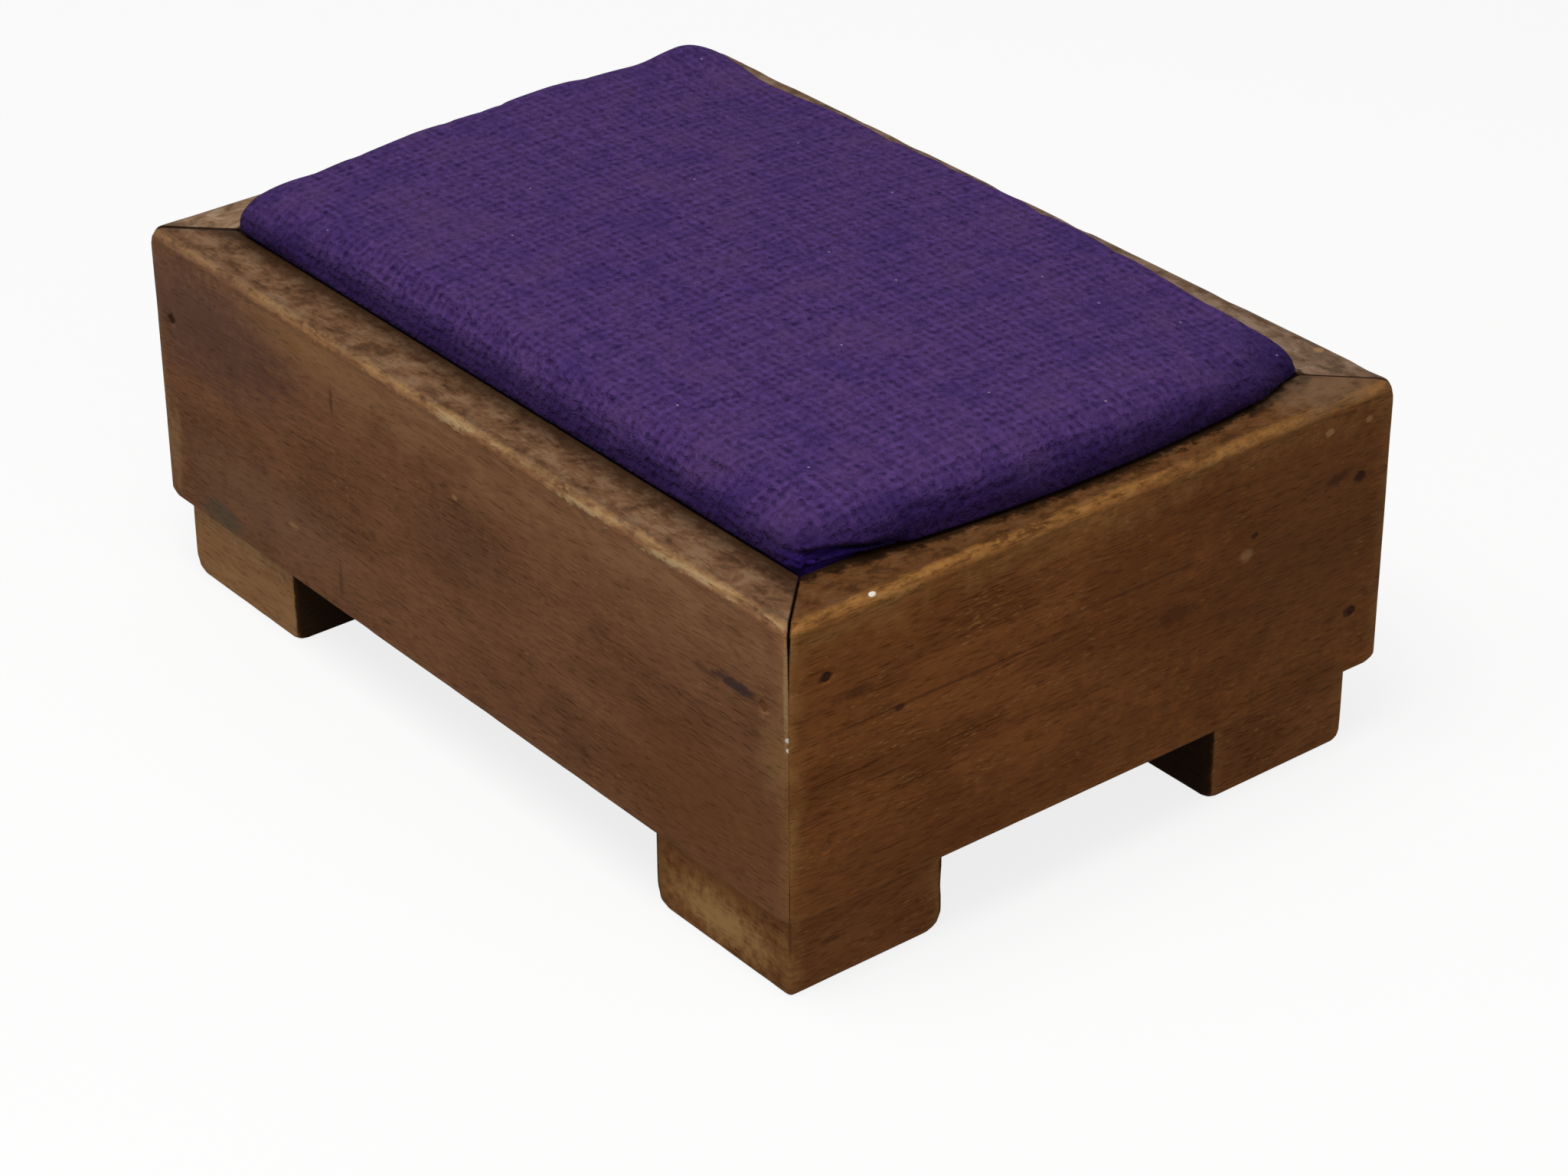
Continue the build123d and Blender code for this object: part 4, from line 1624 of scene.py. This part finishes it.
@dataclass(frozen=True)
class Studio:
    """Plain white floor, soft light and a camera where the photograph was taken from."""

    azimuth: float = math.radians(51.475)
    elevation: float = math.radians(30.008)
    roll: float = math.radians(-0.304)
    distance: float = 1.4483
    aim: Point = (0.00924, 0.00705, 0.02608)
    lens: float = 95.72
    sensor: float = 36.0
    floor_size: float = 12.0
    floor_dim: Colour = (0.36, 0.355, 0.35)
    floor_white: Colour = (0.95, 0.95, 0.95)
    floor_glow: float = 0.82
    surround: float = 0.28

    def camera(self) -> None:
        """Set up the camera."""
        data = bpy.data.cameras.new("camera")
        data.lens = self.lens
        data.sensor_width = self.sensor
        data.clip_start = 0.05
        data.clip_end = 50.0
        camera = bpy.data.objects.new("camera", data)
        bpy.context.scene.collection.objects.link(camera)
        level = math.cos(self.elevation)
        back = Vector((
            math.sin(self.azimuth) * level, -math.cos(self.azimuth) * level, math.sin(self.elevation)
        ))
        right = Vector((0.0, 0.0, 1.0)).cross(back).normalized()
        up = back.cross(right)
        turned_right = right * math.cos(self.roll) + up * math.sin(self.roll)
        turned_up = up * math.cos(self.roll) - right * math.sin(self.roll)
        matrix = Matrix((turned_right, turned_up, back)).transposed().to_4x4()
        matrix.translation = Vector(self.aim) + back * self.distance
        camera.matrix_world = matrix
        bpy.context.scene.camera = camera

    def floor(self) -> None:
        """Lay a floor that looks white to the camera, throws little light back and keeps the shadow."""
        mesh = Mesh()
        bmesh.ops.create_grid(mesh.bm, x_segments=1, y_segments=1, size=self.floor_size / 2)
        floor = mesh.piece("floor")
        shader = Shader("floor_white")
        seen = shader.seen()
        shader.done(Base_Color=shader.blend(seen, self.floor_dim, self.floor_white), Roughness=0.9)
        glow = shader.node("ShaderNodeEmission", None, {"Color": (1.0, 1.0, 1.0), "Strength": 1.0})
        mix = shader.node(
            "ShaderNodeMixShader", None,
            {0: seen * self.floor_glow, 1: shader.surface.outputs[0], 2: glow.outputs[0]},
        )
        shader.tree.links.new(mix.outputs[0], shader.output.inputs[0])
        dress(floor, shader.material)

    def world(self) -> None:
        """Set an even surround, white where it is seen."""
        world = bpy.data.worlds.new("studio")
        world.use_nodes = True
        bpy.context.scene.world = world
        tree = Tree(world.node_tree)
        dim = tree.node(
            "ShaderNodeBackground", None, {"Color": (0.96, 0.98, 1.0), "Strength": self.surround}
        )
        white = tree.node("ShaderNodeBackground", None, {"Color": (1.0, 1.0, 1.0), "Strength": 1.0})
        mix = tree.node(
            "ShaderNodeMixShader", None, {0: tree.seen(), 1: dim.outputs[0], 2: white.outputs[0]}
        )
        tree.node("ShaderNodeOutputWorld", None, {0: mix.outputs[0]})

    def lamp(self, name: str, place: Point, size: float, power: float, colour: Colour) -> None:
        """Hang one square soft lamp that faces the stool.

        Args:
            name: the lamp's name.
            place: where it hangs.
            size: the length of its side.
            power: its power in watts.
            colour: its colour.
        """
        data = bpy.data.lights.new(name, "AREA")
        data.shape = "SQUARE"
        data.size = size
        data.energy = power
        data.color = colour
        lamp = bpy.data.objects.new(name, data)
        bpy.context.scene.collection.objects.link(lamp)
        away = Vector(place) - Vector((0.0, 0.0, 0.1))
        lamp.matrix_world = Matrix.Translation(place) @ away.to_track_quat("Z", "Y").to_matrix().to_4x4()

    def build(self) -> None:
        """Set up floor, surround, lamps and camera."""
        bpy.context.scene.view_settings.view_transform = "Standard"
        self.floor()
        self.world()
        self.lamp("overhead", (0.25, -0.70, 1.95), 1.3, 31.0, (1.0, 0.99, 0.97))
        self.lamp("room", (1.9, -0.2, 1.0), 1.2, 5.0, (1.0, 0.95, 0.88))
        self.camera()


PALE_CHIP = (0.80, 0.76, 0.66)
DARK_STAIN = (0.045, 0.018, 0.010)
GREY_STAIN = (0.080, 0.074, 0.048)
STRAW = (0.36, 0.205, 0.095)

RAIL_MARKS: dict[Side, tuple[Mark, ...]] = {
    Side.FRONT: (
        Mark((-146, -126, 112), (68, 6, 30), (0.120, 0.060, 0.046), 0.72, 0.9),
        Mark((-74, -126, 126), (46, 6, 8), (0.300, 0.155, 0.060), 0.55, 0.9),
        Mark((-110, -126, 52), (70, 6, 20), (0.215, 0.115, 0.066), 0.50, 0.9),
        Mark((8, -126, 90), (38, 6, 13), (0.125, 0.055, 0.031), 0.45, 0.9),
        Mark((136, -126, 56), (58, 6, 32), (0.160, 0.060, 0.020), 0.62, 0.9),
        Mark((171, -126, 90), (9, 6, 18), (0.310, 0.165, 0.068), 0.50, 0.8),
        Mark((-171, -126, 54), (6, 4, 20), STRAW, 0.50, 0.8),
        Mark((153, -126, 105.5), (11, 4, 2.6), (0.028, 0.020, 0.024), 0.80, 0.6),
        Mark((139, -126, 104), (9, 4, 1.6), (0.070, 0.034, 0.022), 0.50, 0.7),
        Mark((-64.5, -126, 113), (1.3, 4, 6), DARK_STAIN, 0.50, 0.6),
        Mark((-65.5, -126, 44), (1.6, 4, 8), DARK_STAIN, 0.40, 0.7),
        Mark((-141, -126, 36.5), (15, 4, 6), GREY_STAIN, 0.65, 0.5),
        Mark((7, -126, 107), (1.8, 3, 1.1), STRAW, 0.70, 0.5),
        Mark((-93.5, -126, 53), (3.6, 3, 1.4), STRAW, 0.60, 0.5),
        Mark((-166.2, -126, 104.5), (3.4, 4, 2.0), DARK_STAIN, 0.85, 0.5),
        Mark((176.6, -126, 112), (1.3, 1.3, 22), (0.40, 0.255, 0.125), 0.75, 0.6),
        Mark((177.2, -125.6, 97.5), (1.2, 1.2, 1.0), PALE_CHIP, 0.90, 0.3),
        Mark((177.2, -125.4, 94), (0.9, 1.2, 0.8), PALE_CHIP, 0.90, 0.3),
    ),
    Side.RIGHT: (
        Mark((178, 92, 88), (6, 72, 90), (0.100, 0.042, 0.0175), 0.60, 0.9),
        Mark((178, 22, 88), (6, 50, 60), (0.122, 0.044, 0.015), 0.45, 0.9),
        Mark((178, -50, 40), (6, 120, 20), (0.122, 0.044, 0.015), 0.45, 0.9),
        Mark((168, 104, 136), (14, 26, 4), (0.190, 0.110, 0.060), 0.65, 0.8),
        Mark((178, 30, 83), (4, 10, 5), (0.075, 0.024, 0.010), 0.60, 0.8),
        Mark((178, -101, 105), (4, 8, 2.6), DARK_STAIN, 0.60, 0.8),
        Mark((178, -62, 94), (4, 64, 0.7), DARK_STAIN, 0.50, 0.6),
        Mark((178, 10, 99.5), (4, 44, 0.8), DARK_STAIN, 0.45, 0.7),
        Mark((178, -83, 93.3), (4, 2.4, 1.4), DARK_STAIN, 0.85, 0.5),
        Mark((178, 64.5, 100), (4, 2.0, 1.4), DARK_STAIN, 0.90, 0.4),
        Mark((178, 101.0, 108.0), (4, 5.5, 2.4), DARK_STAIN, 0.70, 0.7),
        Mark((178, 102, 55), (4, 4.0, 1.2), DARK_STAIN, 0.45, 0.7),
        Mark((178, 111.3, 105.5), (4, 3.2, 2.1), DARK_STAIN, 0.85, 0.4),
        Mark((178, 110.8, 55), (4, 3.6, 2.1), DARK_STAIN, 0.85, 0.4),
        Mark((178, -112.0, 114.7), (4, 3.0, 2.0), (0.060, 0.020, 0.011), 0.80, 0.5),
        Mark((178, 61, 94), (4, 3.4, 2.6), STRAW, 0.45, 0.6),
        Mark((178, 96, 126.5), (4, 2.2, 1.5), STRAW, 0.65, 0.5),
        Mark((178, 114, 125.5), (4, 1.9, 1.4), STRAW, 0.55, 0.5),
        Mark((176.4, -93.0, 135.3), (0.9, 1.5, 1.0), PALE_CHIP, 1.0, 0.25),
    ),
    Side.BACK: (
        Mark((147, 121, 136), (4.5, 4, 4), (0.100, 0.060, 0.038), 0.60, 0.6),
        Mark((147, 121, 136), (2.2, 2, 4), STRAW, 0.70, 0.5),
    ),
    Side.LEFT: (),
}
FOOT_MARKS: dict[Corner, tuple[Mark, ...]] = {
    Corner.FRONT_LEFT: (
        Mark((-150, -121, 31), (17, 5, 6), (0.125, 0.118, 0.080), 0.60, 0.7),
        # Painted light: a pale band along the top of the foot's front, lifting the shade under the rail's
        # edge.
        Mark((-138, -121, 29), (46, 5, 9), (0.560, 0.315, 0.145), 0.75, 0.9),
        Mark((-107, -121, 10), (6, 5, 7), STRAW, 0.50, 0.7),
    ),
    Corner.FRONT_RIGHT: (
        # Painted light: a pale band along the top of the foot's front, lifting the shade under the rail's
        # edge.
        Mark((138, -121, 27), (46, 5, 11), (0.330, 0.138, 0.048), 0.80, 0.9),
        Mark((135, -121, 12), (44, 6, 13), (0.310, 0.155, 0.052), 0.80, 0.9),
        Mark((138, -121, 11), (22, 6, 8), (0.460, 0.260, 0.100), 0.75, 0.9),
        Mark((172, -121, 22), (0.9, 0.9, 11), DARK_STAIN, 0.55, 0.5),
        Mark((172, -105, 15), (4, 4, 1.5), DARK_STAIN, 0.50, 0.6),
    ),
    Corner.BACK_RIGHT: (),
    Corner.BACK_LEFT: (),
}


def rims(well: tuple[float, float]) -> dict[Side, Rim]:
    """How the top of each rail has aged.

    Args:
        well: half length and half width of the well that the seat drops into.

    Returns:
        The rim of each side.
    """
    return {
        # Front rim: the wide dark band beside the seat is dirt and painted shadow.
        Side.FRONT: Rim(
            well, (0.142, 0.073, 0.038), (0.240, 0.145, 0.082), dirt_and_shadow_width=13.5 * MM,
            edge=(0.42, 0.240, 0.095), edge_width=3.7 * MM, chipped=0.85, rubbed=0.90,
            glow=0.80, glow_width=36 * MM, glow_colour=(0.325, 0.158, 0.076),
        ),
        # Right rim: the near-black band beside the seat is painted shadow under the cushion where it bulges
        # over the rim.
        Side.RIGHT: Rim(
            well, (0.090, 0.036, 0.013), (0.150, 0.072, 0.030), dirt_and_shadow=(0.012, 0.006, 0.003),
            dirt_and_shadow_width=4.0 * MM, edge=(0.41, 0.183, 0.047), edge_width=5.2 * MM, rubbed=0.95, chipped=0.1,
            bulge=11 * MM,
        ),
        Side.BACK: Rim(
            well, (0.165, 0.108, 0.072), (0.280, 0.195, 0.135), dirt_and_shadow_width=3.0 * MM, rubbed=0.3, chipped=0.2
        ),
        # Left rim: its pale flat colours are partly dust and partly painted sheen.
        Side.LEFT: Rim(
            well, (0.270, 0.175, 0.108), (0.390, 0.275, 0.185), dirt_and_shadow_width=3.0 * MM, rubbed=0.4, chipped=0.3
        ),
    }


def rail_finishes(box: BoxFrame) -> dict[Side, bpy.types.Material]:
    """The stained finish of each rail, with its own grain and marks.

    Args:
        box: the box that the rails make up.

    Returns:
        A material for each side.
    """
    rim = rims(box.well)
    return {
        side: StainedBeech(
            name=f"beech_{side.rail}",
            low=tuple(box.low),
            high=tuple(box.high),
            grain=Grain.ALONG_X if side.is_long else Grain.ALONG_Y,
            tilt=math.radians(1.5 if side.is_long else -1.5),
            shift=(0.13 * index, 0.37 * index, 0.21 * index),
            tone=(0.248, 0.109, 0.053) if side.is_long else (0.244, 0.088, 0.026),
            deep=(0.124, 0.051, 0.023) if side.is_long else (0.116, 0.038, 0.011),
            streaky=0.35 if side.is_long else 0.55,
            marks=RAIL_MARKS[side],
            rim=rim[side],
        ).build()
        for index, side in enumerate(Side)
    }


def inner_shade_marks(corner: Corner) -> tuple[Mark, ...]:
    """Painted shade on the two inner sides of a foot, darkening them as the shade under the stool.

    Args:
        corner: which corner the foot stands under.

    Returns:
        One mark for each inner side.
    """
    low, high = (Vector(point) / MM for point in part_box(corner.foot))
    middle = (low + high) / 2
    inner_x = low.x if corner.value[0] > 0 else high.x
    inner_y = low.y if corner.value[1] > 0 else high.y
    # Painted shade: near black for the inner sides.
    painted_shade = (0.010, 0.005, 0.003)
    return (
        Mark((inner_x, middle.y, 13), (2.2, 60, 60), painted_shade, 0.92, 0.4),
        Mark((middle.x, inner_y, 13), (60, 2.2, 60), painted_shade, 0.92, 0.4),
    )


def foot_finishes() -> dict[Corner, bpy.types.Material]:
    """The stained finish of each foot, paler at the left.

    Returns:
        A material for each corner.
    """
    finishes = {}
    for index, corner in enumerate(Corner):
        low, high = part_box(corner.foot)
        left = corner.value[0] < 0
        finishes[corner] = StainedBeech(
            name=f"beech_{corner.foot}",
            low=tuple(low),
            high=tuple(high),
            grain=Grain.LAYERED,
            shift=(0.41 + 0.17 * index, 0.11 * index, 0.05),
            tone=(0.400, 0.205, 0.088) if left else (0.225, 0.087, 0.032),
            deep=(0.260, 0.125, 0.052) if left else (0.113, 0.039, 0.0124),
            streaky=0.25 if left else 0.40,
            wear=0.30,
            marks=FOOT_MARKS[corner] + inner_shade_marks(corner),
        ).build()
    return finishes


def dress_inside() -> None:
    """Finish the pieces that carry over from the frame: blocks, battens, board and fasteners."""
    softwood = BareWood("softwood", (0.50, 0.33, 0.17), (0.34, 0.19, 0.085))
    softwood_across = BareWood(
        "softwood_across", (0.50, 0.33, 0.17), (0.34, 0.19, 0.085), Grain.ALONG_Y
    )
    long_wood, cross_wood = softwood.build(), softwood_across.build()
    for corner in Corner:
        dress_node(corner.block, long_wood)
    for side in Side:
        name = f"{side.name.lower()}_seat_batten"
        dress_node(name, long_wood if side.is_long else cross_wood)
    plywood = BareWood("plywood", (0.58, 0.42, 0.24), (0.44, 0.29, 0.15), ring_width=9 * MM)
    dress_node("seat_board", plywood.build())
    dress_node("nail_hole_filler", DarkFiller().build())
    nail_steel = DullSteel("nail_steel", (0.34, 0.33, 0.32)).build()
    dress_node("mitre_nails", nail_steel)
    dress_node("batten_pins", nail_steel)
    dress_node("foot_screws", DullSteel("screw_steel", (0.42, 0.40, 0.36), 0.5).build())
    dress_node("cover_tacks", DullSteel("tack_steel", (0.075, 0.080, 0.095), 0.25).build())


def main() -> None:
    """Build the stool piece by piece."""
    logging.basicConfig(level=logging.INFO, format="%(name)s: %(message)s")
    box = BoxFrame()
    box.build(rail_finishes(box))
    BlockFeet().build(foot_finishes())
    seat = DropInSeat()
    seat.build(PurpleCloth(seat.rim).build(), FibreWadding().build())
    dress_inside()
    Studio().build()


if __name__ == "__main__":
    main()
